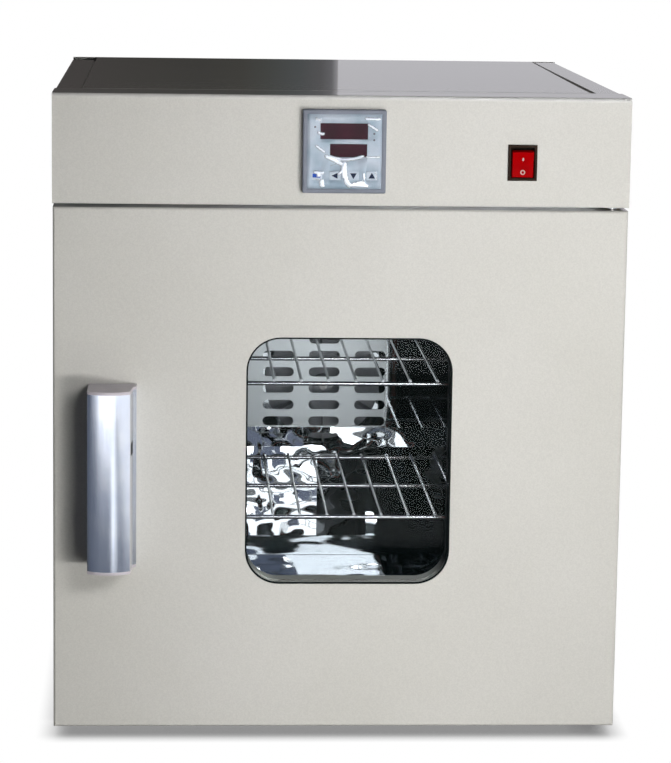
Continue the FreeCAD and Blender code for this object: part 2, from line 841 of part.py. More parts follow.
def heater_leg_places():
    """Where the legs of the two heater rings leave the plenum: one ring's gap is down."""
    spots = []
    for sign in (-1, 1):
        for side in (-1, 1):
            spots.append((f"chamber_shift + {side} * heater_ring * sin(heater_gap_angle)",
                          f"fan_level + {sign} * heater_ring * cos(heater_gap_angle)"))
    return spots


def probe_places():
    """The middles of the control probe and the limit probe."""
    return [("chamber_left + chamber_width - probe_inset",
             f"chamber_floor + shelf_level + shelf_rise / 2 + {side} * probe_spacing / 2")
            for side in (1, -1)]


def make_chamber_liner():
    """The welded stainless steel box, open at the front."""
    outside = block("liner_outside", (
        "chamber_left - liner_steel", "frame_back", "chamber_floor - liner_steel"),
        ("chamber_width + 2 * liner_steel", "liner_back - frame_back",
         "chamber_height + 2 * liner_steel"))
    inside = block("liner_inside", ("chamber_left", "frame_back - overrun", "chamber_floor"),
                   ("chamber_width", "liner_inside_back - frame_back + overrun", "chamber_height"))
    tools = [inside] + back_wall_tools("liner", "liner_inside_back", "liner_steel")
    tools.append(vent_tool("liner", "liner_inside_back", "liner_steel"))
    return node("chamber_liner", cut("chamber_liner_cut", outside, tools))


def slot_places():
    """The baffle's slots: five rows of three, and one more above and below the middle."""
    spots = [(column, row) for row in range(-2, 3) for column in (-1, 0, 1)]
    return spots + [(0, -3), (0, 3)]


def make_fan_baffle():
    """The polished back plate with its slots, on side flanges that stand on the liner's back."""
    left = "chamber_left + baffle_play"
    wide = "chamber_width - 2 * baffle_play"
    low = "chamber_floor + baffle_air_gap"
    tall = "chamber_height - 2 * baffle_air_gap"
    plate = block("baffle_plate", (left, "baffle_front", low), (wide, "liner_steel", tall))
    flange_left = block("baffle_flange_left", (left, "baffle_front", low),
                        ("liner_steel", "plenum_depth + liner_steel", tall))
    flange_right = block("baffle_flange_right", (
        "chamber_left + chamber_width - baffle_play - liner_steel", "baffle_front", low),
        ("liner_steel", "plenum_depth + liner_steel", tall))
    sheet = join("baffle_sheet", [plate, flange_left, flange_right])
    tools = []
    straight = "(slot_width - slot_height)"
    for index, (column, row) in enumerate(slot_places()):
        x = f"chamber_shift + {column} * slot_column_pitch"
        z = f"fan_level + {row} * slot_row_pitch"
        middle = block(f"slot_middle_{index}", (
            f"{x} - {straight} / 2", "baffle_front - overrun", f"{z} - slot_height / 2"),
            (straight, "liner_steel + 2 * overrun", "slot_height"))
        ends = [hole(f"slot_end_{index}_{side + 1}", f"{x} + {side} * {straight} / 2",
                     "baffle_front", z, "slot_height / 2", "liner_steel") for side in (-1, 1)]
        tools.append(join(f"slot_{index}", [middle] + ends))
    for index, (x, z) in enumerate(probe_places()):
        tools.append(hole(f"baffle_probe_hole_{index}", x, "baffle_front", z,
                          "probe_radius + probe_play", "liner_steel"))
    return node("fan_baffle", cut("fan_baffle_cut", sheet, tools))


def make_insulation():
    """Boards of mineral wool round the chamber and behind it."""
    low = "base_level + steel"
    deep = "liner_back - frame_back - 2 * insulation_play"
    start = "frame_back + insulation_play"
    left_edge = "-inside_width / 2"
    liner_left = "chamber_left - liner_steel"
    liner_right = "chamber_left + chamber_width + liner_steel"
    tall = f"tray_level - ({low})"
    boards = [
        block("wool_left", (left_edge, start, low), (f"{liner_left} - ({left_edge})", deep, tall)),
        block("wool_right", (liner_right, start, low),
              (f"inside_width / 2 - ({liner_right})", deep, tall)),
        block("wool_top", (liner_left, start, "chamber_top + liner_steel"),
              ("chamber_width + 2 * liner_steel", deep, "top_insulation")),
        block("wool_base", (liner_left, start, low),
              ("chamber_width + 2 * liner_steel", deep, f"chamber_floor - liner_steel - ({low})")),
    ]
    node("insulation_jacket", group("insulation_boards", boards))
    back = block("wool_back", (left_edge, "liner_back", low),
                 ("inside_width", "back_insulation", tall))
    tools = back_wall_tools("wool", "liner_back", "back_insulation")
    tools.append(vent_tool("wool", "liner_back", "back_insulation"))
    node("insulation_back", cut("insulation_back_cut", back, tools))


def make_inner_sheets():
    """The tray under the electrics and the bulkhead in front of the motor."""
    node("electrics_tray", block("electrics_tray_sheet", (
        "-inside_width / 2", "frame_back", "tray_level"),
        ("inside_width", "bulkhead_back - frame_back", "steel")))
    sheet = block("bulkhead_sheet", ("-inside_width / 2", "bulkhead_front", "base_level + steel"),
                  ("inside_width", "steel", "tray_level - base_level - steel"))
    tools = back_wall_tools("bulkhead", "bulkhead_front", "steel")
    tools.append(vent_tool("bulkhead", "bulkhead_front", "steel"))
    node("motor_bulkhead", cut("motor_bulkhead_cut", sheet, tools))


def make_runner(name, side):
    """A wall plate with five ledges that carry the shelves."""
    wall_face = f"chamber_shift + {side} * chamber_width / 2"
    low = "chamber_floor + runner_margin"
    front = "frame_back + runner_front"
    x = f"{wall_face} - {side} * runner_steel / 2 - runner_steel / 2"
    pieces = [block(name + "_plate", (x, front, low),
                    ("runner_steel", "runner_length", "chamber_height - 2 * runner_margin"))]
    for step in range(-1, 4):
        level = f"chamber_floor + shelf_level + {step} * ledge_pitch - runner_steel"
        ledge_x = f"{wall_face} - {side} * ledge_reach / 2 - ledge_reach / 2"
        pieces.append(block(f"{name}_ledge_{step + 1}", (ledge_x, front, level),
                            ("ledge_reach", "runner_length", "runner_steel")))
    return node(name, join(name + "_joined", pieces))


def make_shelf(name, steps):
    """A wire shelf: long wires welded on top of three cross rails."""
    level = f"chamber_floor + shelf_level + {steps} * shelf_rise + rest_gap + rail_radius"
    front = "frame_back + shelf_front"
    rods = []
    for index, share in enumerate(RAIL_SHARES):
        rods.append(rod(f"{name}_rail_{index}", (
            "chamber_shift - shelf_width / 2",
            f"{front} + rail_radius + {share} * (shelf_length - 2 * rail_radius)", level),
            "rail_radius", "shelf_width", "X"))
    count = 2 * int(number("shelf_width") / 2 / number("wire_pitch"))
    for index in range(count):
        x = f"chamber_shift + ({index} - {count - 1} / 2) * wire_pitch"
        rods.append(rod(f"{name}_wire_{index}", (
            x, front, f"{level} + rail_radius + wire_radius - weld_sink"), "wire_radius",
            "shelf_length", "Y"))
    return node(name, join(name + "_welded", rods))


def make_heaters():
    """Two open rings of sheathed element round the fan, their legs through the back."""
    elements = []
    for index, sign in enumerate((-1, 1)):
        y = f"liner_inside_back - plenum_depth / 2 + ({index} - 1 / 2) * heater_pitch"
        ring = doc.addObject("Part::Torus", f"heater_ring_{index}")
        bind(ring, Radius1="heater_ring", Radius2="heater_radius",
             Angle3="360 - 2 * heater_gap_angle")
        turn = HEATER_MIDDLES[index] + number("heater_gap_angle")
        ring.Placement = Placement(Vector(), Rotation(Vector(0, 1, 0), turn)
                                   * Rotation(Vector(1, 0, 0), 90))
        put(ring, ("chamber_shift", y, "fan_level"))
        pieces = [ring]
        for side in (-1, 1):
            x = f"chamber_shift + {side} * heater_ring * sin(heater_gap_angle)"
            z = f"fan_level + {sign} * heater_ring * cos(heater_gap_angle)"
            pieces.append(rod(f"heater_leg_{index}_{side + 1}", (x, y, z), "heater_radius",
                              f"bulkhead_back + heater_tail - ({y})", "Y"))
            elbow = doc.addObject("Part::Sphere", f"heater_elbow_{index}_{side + 1}")
            bind(elbow, Radius="heater_radius")
            pieces.append(put(elbow, (x, y, z)))
        elements.append(join(f"heater_element_{index}", pieces))
    return node("heater_elements", group("heater_pair", elements))


def make_fan():
    """A centrifugal fan wheel on its shaft, in front of the liner's back wall."""
    back = "liner_inside_back - fan_gap"
    plate = rod("fan_plate", ("chamber_shift", f"{back} - fan_plate", "fan_level"), "fan_radius",
                "fan_plate", "Y")
    hub = rod("fan_hub", ("chamber_shift", f"{back} - fan_depth", "fan_level"), "hub_radius",
              "fan_depth", "Y")
    blades = []
    for index in range(BLADE_COUNT):
        blade = doc.addObject("Part::Box", f"fan_blade_{index}")
        bind(blade, Length="blade_length", Width="fan_depth", Height="blade_thick")
        angle = 360 * index / BLADE_COUNT
        blade.Placement = Placement(Vector(), Rotation(Vector(0, 1, 0), -angle))
        reach = "(fan_radius - blade_length)"
        put(blade, (f"chamber_shift + {reach} * cos({angle})", f"{back} - fan_depth",
                    f"fan_level + {reach} * sin({angle})"))
        blades.append(blade)
    wheel = join("fan_wheel", [plate, hub] + blades)
    bore = hole("fan_bore", "chamber_shift", f"{back} - fan_depth", "fan_level", "shaft_radius",
                "fan_depth")
    node("fan_impeller", cut("fan_impeller_cut", wheel, [bore]))
    start = f"{back} - fan_depth"
    node("fan_shaft", rod("fan_shaft_rod", ("chamber_shift", start, "fan_level"), "shaft_radius",
                          f"motor_back - motor_length / 4 - ({start})", "Y"))


def make_motor():
    """The fan motor on a plate that stands on four posts behind the bulkhead."""
    can = rod("motor_can", ("chamber_shift", "motor_front", "fan_level"), "motor_radius",
              "motor_length", "Y")
    rim = soften("motor_rim", can, number("motor_radius") / MOTOR_RIM_SHARE, lambda edge: (
        edge.CenterOfMass.y > number("motor_front") + TOLERANCE and edge.Closed
        and isinstance(edge.Curve, Part.Circle)))
    bore = rod("motor_bore", ("chamber_shift", "motor_front - overrun", "fan_level"),
               "shaft_radius + shaft_play", "motor_length * 3 / 4 + overrun", "Y")
    node("fan_motor", cut("fan_motor_cut", rim, [bore]))
    corner = "motor_plate_size / 2"
    plate = block("motor_plate_sheet", (
        f"chamber_shift - {corner}", "motor_front - motor_plate", f"fan_level - {corner}"),
        ("motor_plate_size", "motor_plate", "motor_plate_size"))
    posts = []
    for index, (side, up) in enumerate(((-1, -1), (1, -1), (-1, 1), (1, 1))):
        place = f"({corner} - 2 * post_radius)"
        posts.append(rod(f"motor_post_{index}", (
            f"chamber_shift + {side} * {place}", "bulkhead_back", f"fan_level + {up} * {place}"),
            "post_radius", "motor_standoff", "Y"))
    opening = hole("motor_plate_hole", "chamber_shift", "motor_front - motor_plate", "fan_level",
                   "shaft_radius + shaft_clearance", "motor_plate")
    tools = [opening]
    node("motor_bracket", cut("motor_bracket_cut", join("motor_stand", [plate] + posts), tools))


def make_probes():
    """The control probe and the limit probe, from behind the bulkhead into the chamber."""
    probes = []
    for index, (x, z) in enumerate(probe_places()):
        stem = rod(f"probe_stem_{index}", (x, "baffle_front - probe_reach", z), "probe_radius",
                   "bulkhead_back - baffle_front + probe_reach", "Y")
        tip = doc.addObject("Part::Sphere", f"probe_tip_{index}")
        bind(tip, Radius="probe_radius")
        put(tip, (x, "baffle_front - probe_reach", z))
        head = rod(f"probe_head_{index}", (x, "bulkhead_back", z), "probe_head_radius",
                   "probe_head", "Y")
        probes.append(join(f"probe_{index}", [stem, tip, head]))
    return node("temperature_probes", group("probe_pair", probes))


def make_vent():
    """The exhaust tube through the rear, and the turning damper on its end."""
    outside = rod("vent_outside", ("vent_x", "liner_inside_back", "vent_level"), "vent_radius",
                  "vent_end - liner_inside_back", "Y")
    bore = rod("vent_bore", ("vent_x", "liner_inside_back - overrun", "vent_level"),
               "vent_radius - vent_wall", "vent_end - vent_cap - liner_inside_back + overrun",
               "Y")
    collar = rod("vent_collar", ("vent_x", "rear_face", "vent_level"), "damper_radius",
                 "vent_cap", "Y")
    pin = rod("vent_pin", ("vent_x", "vent_end - vent_cap", "vent_level"), "damper_pin_radius",
              "vent_cap + damper_thick + 2 * rest_gap", "Y")
    head = rod("vent_pin_head", ("vent_x", "vent_end + damper_thick + 2 * rest_gap", "vent_level"),
               "damper_head_radius", "damper_head", "Y")
    ports = [hole(f"vent_port_{side + 1}", f"vent_x + {side} * damper_hole_place",
                  "vent_end - vent_cap", "vent_level", "damper_hole", "vent_cap")
             for side in (-1, 1)]
    tube = cut("vent_tube_cut", join("vent_tube_blank", [outside, collar]), [bore] + ports)
    node("vent_tube", join("vent_tube_whole", [tube, pin, head]))
    disc = rod("damper_disc", ("vent_x", "vent_end + rest_gap", "vent_level"), "damper_radius",
               "damper_thick", "Y")
    ribs = []
    for index in range(RIB_COUNT):
        angle = 360 * index / RIB_COUNT
        ribs.append(rod(f"damper_rib_{index}", (
            f"vent_x + damper_radius * cos({angle})", "vent_end + rest_gap",
            f"vent_level + damper_radius * sin({angle})"), "damper_rib", "damper_thick", "Y"))
    grooved = cut("damper_grooved", disc, ribs)
    ports = [hole(f"damper_port_{side + 1}", "vent_x", "vent_end + rest_gap",
                  f"vent_level + {side} * damper_hole_place", "damper_hole", "damper_thick")
             for side in (-1, 1)]
    ports.append(hole("damper_bore", "vent_x", "vent_end + rest_gap", "vent_level",
                      "damper_pin_radius + pin_play", "damper_thick"))
    node("vent_damper", cut("vent_damper_cut", grooved, ports))


def display_places():
    """Size words and middle of each display, the upper one first."""
    return [("upper_display_width", "upper_display_height",
             "controller_shift + upper_display_shift", "controller_level + upper_display_lift"),
            ("lower_display_width", "lower_display_height",
             "controller_shift + lower_display_shift", "controller_level + lower_display_lift")]


def key_x(index):
    """The middle of a key across the controller."""
    return f"controller_shift + ({index} - 3 / 2) * key_pitch"


def make_controller():
    """The square controller: its front frame, case, two displays, four keys and film."""
    half = "controller_size / 2"
    front = block("controller_front_block", (
        f"controller_shift - {half}", "controller_front", f"controller_level - {half}"),
        ("controller_size", "controller_proud", "controller_size"))
    rounded = soften("controller_front_rounded", front, number("controller_edge"), lambda edge: (
        abs(edge.CenterOfMass.y - number("controller_front")) < TOLERANCE
        or runs_along(edge, "y")))
    face = block("controller_face", (
        "controller_shift - face_size / 2", "controller_front - overrun",
        "controller_level - face_size / 2"), ("face_size", "face_depth + overrun", "face_size"))
    hollow = block("controller_hollow", (
        "controller_shift - face_size / 2", "face_front + face_wall",
        "controller_level - face_size / 2"),
        ("face_size", "controller_proud - face_depth - face_wall + overrun", "face_size"))
    tools = [face, hollow]
    panes = []
    for index, (width, height, x, z) in enumerate(display_places()):
        tools.append(block(f"display_opening_{index}", (
            f"{x} - {width} / 2", "face_front - overrun", f"{z} - {height} / 2"),
            (width, "face_wall + 2 * overrun", height)))
        panes.append(block(f"display_pane_{index}", (
            f"{x} - {width} / 2", "face_front + face_wall - display_thick",
            f"{z} - {height} / 2"), (width, "display_thick", height)))
    for index in range(KEY_COUNT):
        tools.append(block(f"key_opening_{index}", (
            f"{key_x(index)} - key_width / 2 - key_play", "face_front - overrun",
            "key_level - key_height / 2 - key_play"),
            ("key_width + 2 * key_play", "face_wall + 2 * overrun",
             "key_height + 2 * key_play")))
    node("controller_bezel", cut("controller_bezel_cut", rounded, tools))
    node("controller_displays", group("display_pair", panes))
    half = "controller_case_size / 2"
    case = block("controller_case_block", (
        f"controller_shift - {half}", "front_face", f"controller_level - {half}"),
        ("controller_case_size", "controller_case_depth", "controller_case_size"))
    inside = block("controller_case_inside", (
        f"controller_shift - {half} + face_wall", "front_face - overrun",
        f"controller_level - {half} + face_wall"),
        ("controller_case_size - 2 * face_wall",
         "controller_case_depth - face_wall + overrun", "controller_case_size - 2 * face_wall"))
    node("controller_case", cut("controller_case_cut", case, [inside]))
    for index in range(KEY_COUNT):
        make_key(index)
    wide = "face_size - 2 * film_margin"
    node("controller_film", block("film_sheet", (
        f"controller_shift - ({wide}) / 2", "face_front - key_proud - film_gap - film_thick",
        f"controller_level - ({wide}) / 2"), (wide, "film_thick", wide)))


def make_key(index):
    """A key that passes through the face and is held by a flange behind it."""
    cap = block(f"key_cap_{index}", (
        f"{key_x(index)} - key_width / 2", "face_front - key_proud", "key_level - key_height / 2"),
        ("key_width", "key_proud + face_wall + rest_gap + key_flange_thick", "key_height"))
    rounded = soften(f"key_rounded_{index}", cap, number("key_proud") / 2, lambda edge: (
        abs(edge.CenterOfMass.y - number("face_front") + number("key_proud")) < TOLERANCE))
    flange = block(f"key_flange_{index}", (
        f"{key_x(index)} - key_width / 2 - key_flange", "face_front + face_wall + rest_gap",
        "key_level - key_height / 2 - key_flange"),
        ("key_width + 2 * key_flange", "key_flange_thick", "key_height + 2 * key_flange"))
    node(f"key_{index + 1}", join(f"key_joined_{index}", [rounded, flange]))


def make_rocker():
    """The rocker switch: its frame with the body behind, and the paddle."""
    half_x = "rocker_frame_width / 2"
    half_z = "rocker_frame_height / 2"
    frame = block("rocker_frame_block", (
        f"rocker_shift - {half_x}", "front_face - rocker_frame_proud", f"rocker_level - {half_z}"),
        ("rocker_frame_width", "rocker_frame_proud", "rocker_frame_height"))
    rounded = soften("rocker_frame_rounded", frame, number("rocker_frame_proud") / 2,
                     lambda edge: edge.CenterOfMass.y < number("front_face") - TOLERANCE
                     and abs(edge.CenterOfMass.y - number("front_face")
                             + number("rocker_frame_proud")) < TOLERANCE)
    housing = block("rocker_housing", (
        f"rocker_shift - {half_x} + rocker_frame_wall - rocker_body_wall", "front_face",
        f"rocker_level - {half_z} + rocker_frame_wall - rocker_body_wall"),
        ("rocker_frame_width - 2 * rocker_frame_wall + 2 * rocker_body_wall",
         "rocker_body_depth",
         "rocker_frame_height - 2 * rocker_frame_wall + 2 * rocker_body_wall"))
    well = block("rocker_well", (
        f"rocker_shift - {half_x} + rocker_frame_wall",
        "front_face - rocker_frame_proud - overrun", f"rocker_level - {half_z} + rocker_frame_wall"),
        ("rocker_frame_width - 2 * rocker_frame_wall",
         "rocker_frame_proud + overrun + rocker_body_depth - rocker_body_wall",
         "rocker_frame_height - 2 * rocker_frame_wall"))
    pivot = rod("rocker_pivot", (
        f"rocker_shift - {half_x} + rocker_frame_wall - rocker_body_wall / 2",
        "front_face + rocker_pivot_depth", "rocker_level"), "rocker_pivot_radius",
        "rocker_frame_width - 2 * rocker_frame_wall + rocker_body_wall", "X")
    shell = cut("rocker_shell", join("rocker_frame_joined", [rounded, housing]), [well])
    node("rocker_bezel", join("rocker_bezel_whole", [shell, pivot]))
    top = "rocker_height / 2"
    paddle = prism("rocker_paddle", "YZ_Plane", [
        ("-rocker_end_proud - rocker_pivot_depth", top),
        ("-rocker_middle_proud - rocker_pivot_depth", "0"),
        ("-rocker_end_proud - rocker_pivot_depth", f"-{top}"),
        ("-rocker_pivot_depth + rocker_middle_proud / 2", f"-{top}"),
        ("rocker_root_depth", "-rocker_root_height / 2"),
        ("rocker_root_depth", "rocker_root_height / 2"),
        ("-rocker_pivot_depth + rocker_middle_proud / 2", top)], "rocker_width",
        ("rocker_shift - rocker_width / 2", "front_face + rocker_pivot_depth", "rocker_level"))
    bind(paddle, **{"Placement.Rotation.Angle": "rocker_tilt"})
    paddle.Placement = Placement(paddle.Placement.Base, Rotation(Vector(1, 0, 0),
                                                                 number("rocker_tilt")))
    bore = hole("rocker_bore", "rocker_shift - rocker_width / 2",
                "front_face + rocker_pivot_depth", "rocker_level",
                "rocker_pivot_radius + pin_play", "rocker_width", "X")
    node("rocker", cut("rocker_bored", paddle, [bore]))


def make_electrics():
    """The relay on its heat sink, the terminals, the limit thermostat and the power inlet."""
    low = "tray_top"
    base = block("sink_base_block", ("relay_side", "front_face + relay_setback", low),
                 ("relay_width", "relay_depth", "sink_base"))
    fins = []
    count = int(number("sink_fin_count"))
    for index in range(count):
        fins.append(block(f"sink_fin_{index}", (
            f"relay_side + {index} * (relay_width - sink_fin) / {count - 1}",
            "front_face + relay_setback", low), ("sink_fin", "relay_depth", "sink_height")))
    relay = block("relay_brick", (
        "relay_side", "front_face + relay_setback - relay_height", low),
        ("relay_width", "relay_height", "sink_height"))
    node("relay_block", join("relay_joined", [base, relay] + fins))
    strip = block("terminal_strip", ("terminal_side", "front_face + terminal_setback", low),
                  ("terminal_width", "terminal_depth", "terminal_height"))
    wells = [rod(f"terminal_well_{index}", (
        f"terminal_side + ({index} + 1 / 2) * terminal_width / {TERMINAL_COUNT}",
        "front_face + terminal_setback + terminal_depth / 2",
        f"{low} + terminal_height / 2"), "terminal_depth / 6", "terminal_height")
        for index in range(TERMINAL_COUNT)]
    node("terminal_block", cut("terminal_block_cut", strip, wells))
    box = block("limiter_box", ("limiter_side", "front_face + limiter_setback", low),
                ("limiter_width", "limiter_depth", "limiter_height"))
    stem = rod("limiter_stem", (
        "limiter_side + limiter_width / 2", "front_face + limiter_setback + limiter_depth / 2",
        f"{low} + limiter_height"), "limiter_height / 6", "limiter_height / 3")
    node("limit_thermostat", join("limiter_joined", [box, stem]))
    make_inlet()


def make_inlet():
    """A mains inlet in the rear panel with three pins in its well."""
    half_x = "inlet_width / 2"
    half_z = "inlet_height / 2"
    level = "base_level + inlet_rise"
    flange = block("inlet_flange_plate", (
        f"inlet_side - {half_x}", "rear_face", f"{level} - {half_z}"),
        ("inlet_width", "inlet_flange", "inlet_height"))
    shell = block("inlet_shell", (
        f"inlet_side - {half_x} + inlet_wall", "rear_face - inlet_depth",
        f"{level} - {half_z} + inlet_wall"),
        ("inlet_width - 2 * inlet_wall", "inlet_depth", "inlet_height - 2 * inlet_wall"))
    well = block("inlet_well", (
        f"inlet_side - {half_x} + 2 * inlet_wall", "rear_face - inlet_depth + inlet_wall",
        f"{level} - {half_z} + 2 * inlet_wall"),
        ("inlet_width - 4 * inlet_wall", "inlet_depth + inlet_flange + overrun",
         "inlet_height - 4 * inlet_wall"))
    pins = [rod(f"inlet_pin_{index}", (
        f"inlet_side + ({index} - 1) * inlet_pin_pitch", "rear_face - inlet_depth", level),
        "inlet_pin_radius", "inlet_wall + inlet_pin_length", "Y") for index in range(3)]
    hollow = cut("inlet_hollow", join("inlet_outer", [flange, shell]), [well])
    node("power_inlet", join("inlet_whole", [hollow] + pins))


def make_gasket():
    """The silicone seal round the chamber's mouth, on the front frame."""
    thick = "gasket_gap - rest_gap"
    margin = "(gasket_margin + gasket_width)"
    outside = block("gasket_outside", (
        f"chamber_left - {margin}", f"body_front - ({thick})", f"chamber_floor - {margin}"),
        (f"chamber_width + 2 * {margin}", thick, f"chamber_height + 2 * {margin}"))
    corners = soften("gasket_corners", outside, number("gasket_width"),
                     lambda edge: runs_along(edge, "y"))
    inside = block("gasket_inside", (
        "chamber_left - gasket_margin", f"body_front - ({thick}) - overrun",
        "chamber_floor - gasket_margin"),
        ("chamber_width + 2 * gasket_margin", f"{thick} + 2 * overrun",
         "chamber_height + 2 * gasket_margin"))
    return node("door_gasket", cut("door_gasket_cut", corners, [inside]))


def make_catch():
    """Two magnets on the front frame and their strike plates on the door."""
    magnets = []
    strikes = []
    for side in (-1, 1):
        corner = ("-half_width + catch_inset",
                  f"base_level + window_rise + {side} * catch_spacing / 2 - catch_height / 2")
        magnets.append(block(f"magnet_{side + 1}", (corner[0], "body_front - magnet_thick",
                                                    corner[1]),
                             ("catch_width", "magnet_thick", "catch_height")))
        strikes.append(block(f"strike_{side + 1}", (corner[0], "door_back", corner[1]),
                             ("catch_width", "strike_thick", "catch_height")))
    node("catch_magnets", group("magnet_pair", magnets))
    node("catch_strikes", group("strike_pair", strikes))


def make_hinges():
    """Pivot plates above and below the door, their pins, and the bushes in the door."""
    upper = block("upper_plate", (
        "pivot_x - hinge_plate_width / 2", "pivot_y - hinge_plate_front",
        "panel_level - hinge_plate_thick"),
        ("hinge_plate_width", "body_front - pivot_y + hinge_plate_front", "hinge_plate_thick"))
    lower = block("lower_plate", (
        "pivot_x - hinge_plate_width / 2", "pivot_y - hinge_plate_front",
        "base_level - hinge_plate_thick"),
        ("hinge_plate_width", "body_front - pivot_y + hinge_plate_front + hinge_plate_tail",
         "hinge_plate_thick"))
    drilled = []
    for name, plate, level in (("upper", upper, "panel_level - hinge_plate_thick"),
                               ("lower", lower, "base_level - hinge_plate_thick")):
        round_front = soften(name + "_plate_rounded", plate,
                             number("hinge_plate_width") / HINGE_CORNER_SHARE,
                             lambda edge: runs_along(edge, "z") and edge.CenterOfMass.y
                             < number("pivot_y"))
        drilled.append(cut(name + "_plate_drilled", round_front, [hole(
            name + "_plate_hole", "pivot_x", "pivot_y", level, "pin_radius",
            "hinge_plate_thick", "Z")]))
    node("hinge_plates", group("hinge_plate_pair", drilled))
    pins = [rod("upper_pin", ("pivot_x", "pivot_y", "door_top - pin_depth"), "pin_radius",
                "panel_level - door_top + pin_depth"),
            rod("lower_pin", ("pivot_x", "pivot_y", "base_level - hinge_plate_thick"),
                "pin_radius", "hinge_plate_thick + door_bottom - base_level + pin_depth")]
    node("hinge_pins", group("pin_pair", pins))
    bushes = []
    for name, start, flange_start in (
            ("upper", "door_top - bush_length", "door_top - steel - bush_flange"),
            ("lower", "door_bottom", "door_bottom + steel")):
        sleeve = rod(name + "_sleeve", ("pivot_x", "pivot_y", start), "bush_radius", "bush_length")
        flange = rod(name + "_bush_flange", ("pivot_x", "pivot_y", flange_start),
                     "bush_flange_radius", "bush_flange")
        bore = hole(name + "_bush_bore", "pivot_x", "pivot_y", start, "pin_radius + pin_play",
                    "bush_length", "Z")
        bushes.append(cut(name + "_bush", join(name + "_bush_blank", [sleeve, flange]), [bore]))
    node("hinge_bushes", group("bush_pair", bushes))


def make_door_shell():
    """The door's folded outer tray, its inner pan and the padding between them."""
    left = "-half_width + door_side_gap"
    tray = block("door_block", (left, "front_face", "door_bottom"),
                 ("door_width", "door_thick", "door_height"))
    rounded = soften("door_rounded", tray, number("door_edge"), lambda edge: (
        abs(edge.CenterOfMass.y - number("front_face")) < TOLERANCE))
    inside = block("door_inside", (
        f"{left} + steel", "front_face + steel", "door_bottom + steel"),
        ("door_width - 2 * steel", "door_thick - steel + overrun", "door_height - 2 * steel"))
    window = cutter("door_window_tool", "window_width", "window_height", "window_corner",
                    ("window_shift", "front_face", "window_level"), "steel")
    sockets = [hole("upper_socket", "pivot_x", "pivot_y", "door_top - steel",
                    "bush_radius + bush_play", "steel", "Z"),
               hole("lower_socket", "pivot_x", "pivot_y", "door_bottom",
                    "bush_radius + bush_play", "steel", "Z")]
    screw_holes = [hole(f"pull_screw_hole_{index}", x, "front_face", z, "pull_screw_radius",
                        "steel") for index, (x, z) in enumerate(pull_screw_places())]
    node("door_skin", cut("door_skin_cut", rounded, [inside, window] + sockets + screw_holes))
    play = "(steel + pan_play)"
    pan = block("door_pan_sheet", (f"{left} + {play}", "pan_front", f"door_bottom + {play}"),
                (f"door_width - 2 * {play}", "pan_steel", f"door_height - 2 * {play}"))
    deep = ("window_shift", "collar_place", "window_level")
    collar = rounded_plate("door_pan_collar", "glass_width", "glass_height", "glass_corner",
                           "pan_front - collar_place", deep)
    opening = cutter("door_pan_window", "pan_window_width", "pan_window_height",
                     "pan_window_corner", deep, "door_back - collar_place")
    node("door_inner_pan", cut("door_inner_pan_cut", join("door_pan_drawn", [pan, collar]),
                               [opening]))
    start = "front_face + steel"
    padding_left = f"{left} + steel"
    padding = block("door_padding", (padding_left, start, "door_bottom + steel"),
                    (f"pivot_x - bush_flange_radius - rest_gap - ({padding_left})",
                     f"pan_front - ({start})", "door_height - 2 * steel"))
    clear = cutter("door_padding_window", "padding_hole_width", "padding_hole_height",
                   "padding_hole_corner", ("window_shift", "front_face", "window_level"),
                   "door_thick")
    screw_clear = [hole(f"padding_screw_hole_{index}", x, "front_face", z,
                        "pull_screw_radius + rest_gap", "pull_screw_length")
                   for index, (x, z) in enumerate(pull_screw_places())]
    node("door_insulation", cut("door_insulation_cut", padding, [clear] + screw_clear))


def make_window():
    """The frame with its thin lip, two panes, their spacer and two silicone seals."""
    middle = ("window_shift", "front_face", "window_level")

    def ring(name, outer, inner, place, thick):
        """A flat or tubular ring between two rounded outlines."""
        at = ("window_shift", place, "window_level")
        return cut(name, rounded_plate(name + "_outer", *outer, thick, at),
                   [cutter(name + "_inner", *inner, at, thick)])

    owner = body("window_lip")
    front = draw_rounded(sketch_on(owner, "lip_outline", "XZ_Plane"), "lip_outer_width",
                         "lip_outer_height", "lip_outer_corner")
    pad(owner, "lip_pad", front, "lip_depth", True)
    wide = draw_rounded(sketch_on(owner, "lip_mouth", "XZ_Plane"), "mouth_width", "mouth_height",
                        "mouth_corner")
    narrow = draw_rounded(sketch_on(owner, "lip_throat", "XZ_Plane", "-lip_depth"),
                          "inner_window_width", "inner_window_height", "inner_window_corner")
    slope = owner.newObject("PartDesign::SubtractiveLoft", "lip_slope")
    slope.Profile = wide
    slope.Sections = [narrow]
    slope.Ruled = True
    owner.Tip = slope
    put(owner, middle)
    flange = ring("lip_flange_ring",
                  ("lip_flange_width", "lip_flange_height", "lip_flange_corner"),
                  ("mouth_width", "mouth_height", "mouth_corner"), "front_face + steel",
                  "lip_depth - steel")
    node("window_frame", join("window_frame_joined", [owner, flange]))
    glass = ("glass_width", "glass_height", "glass_corner")
    node("outer_glass", rounded_plate("outer_pane", *glass, "glass_thick", (
        "window_shift", "outer_glass_place", "window_level")))
    node("inner_glass", rounded_plate("inner_pane", *glass, "glass_thick", (
        "window_shift", "inner_glass_place", "window_level")))
    node("window_spacer", ring("window_spacer_ring", glass, (
        "spacer_hole_width", "spacer_hole_height", "spacer_hole_corner"), "spacer_place",
        "pane_gap"))
    seal_hole = ("seal_hole_width", "seal_hole_height", "seal_hole_corner")
    seals = [ring("front_seal", glass, seal_hole, "front_seal_place", "seal_thick"),
             ring("back_seal", glass, seal_hole, "back_seal_place", "seal_thick")]
    node("glass_seals", group("seal_pair", seals))


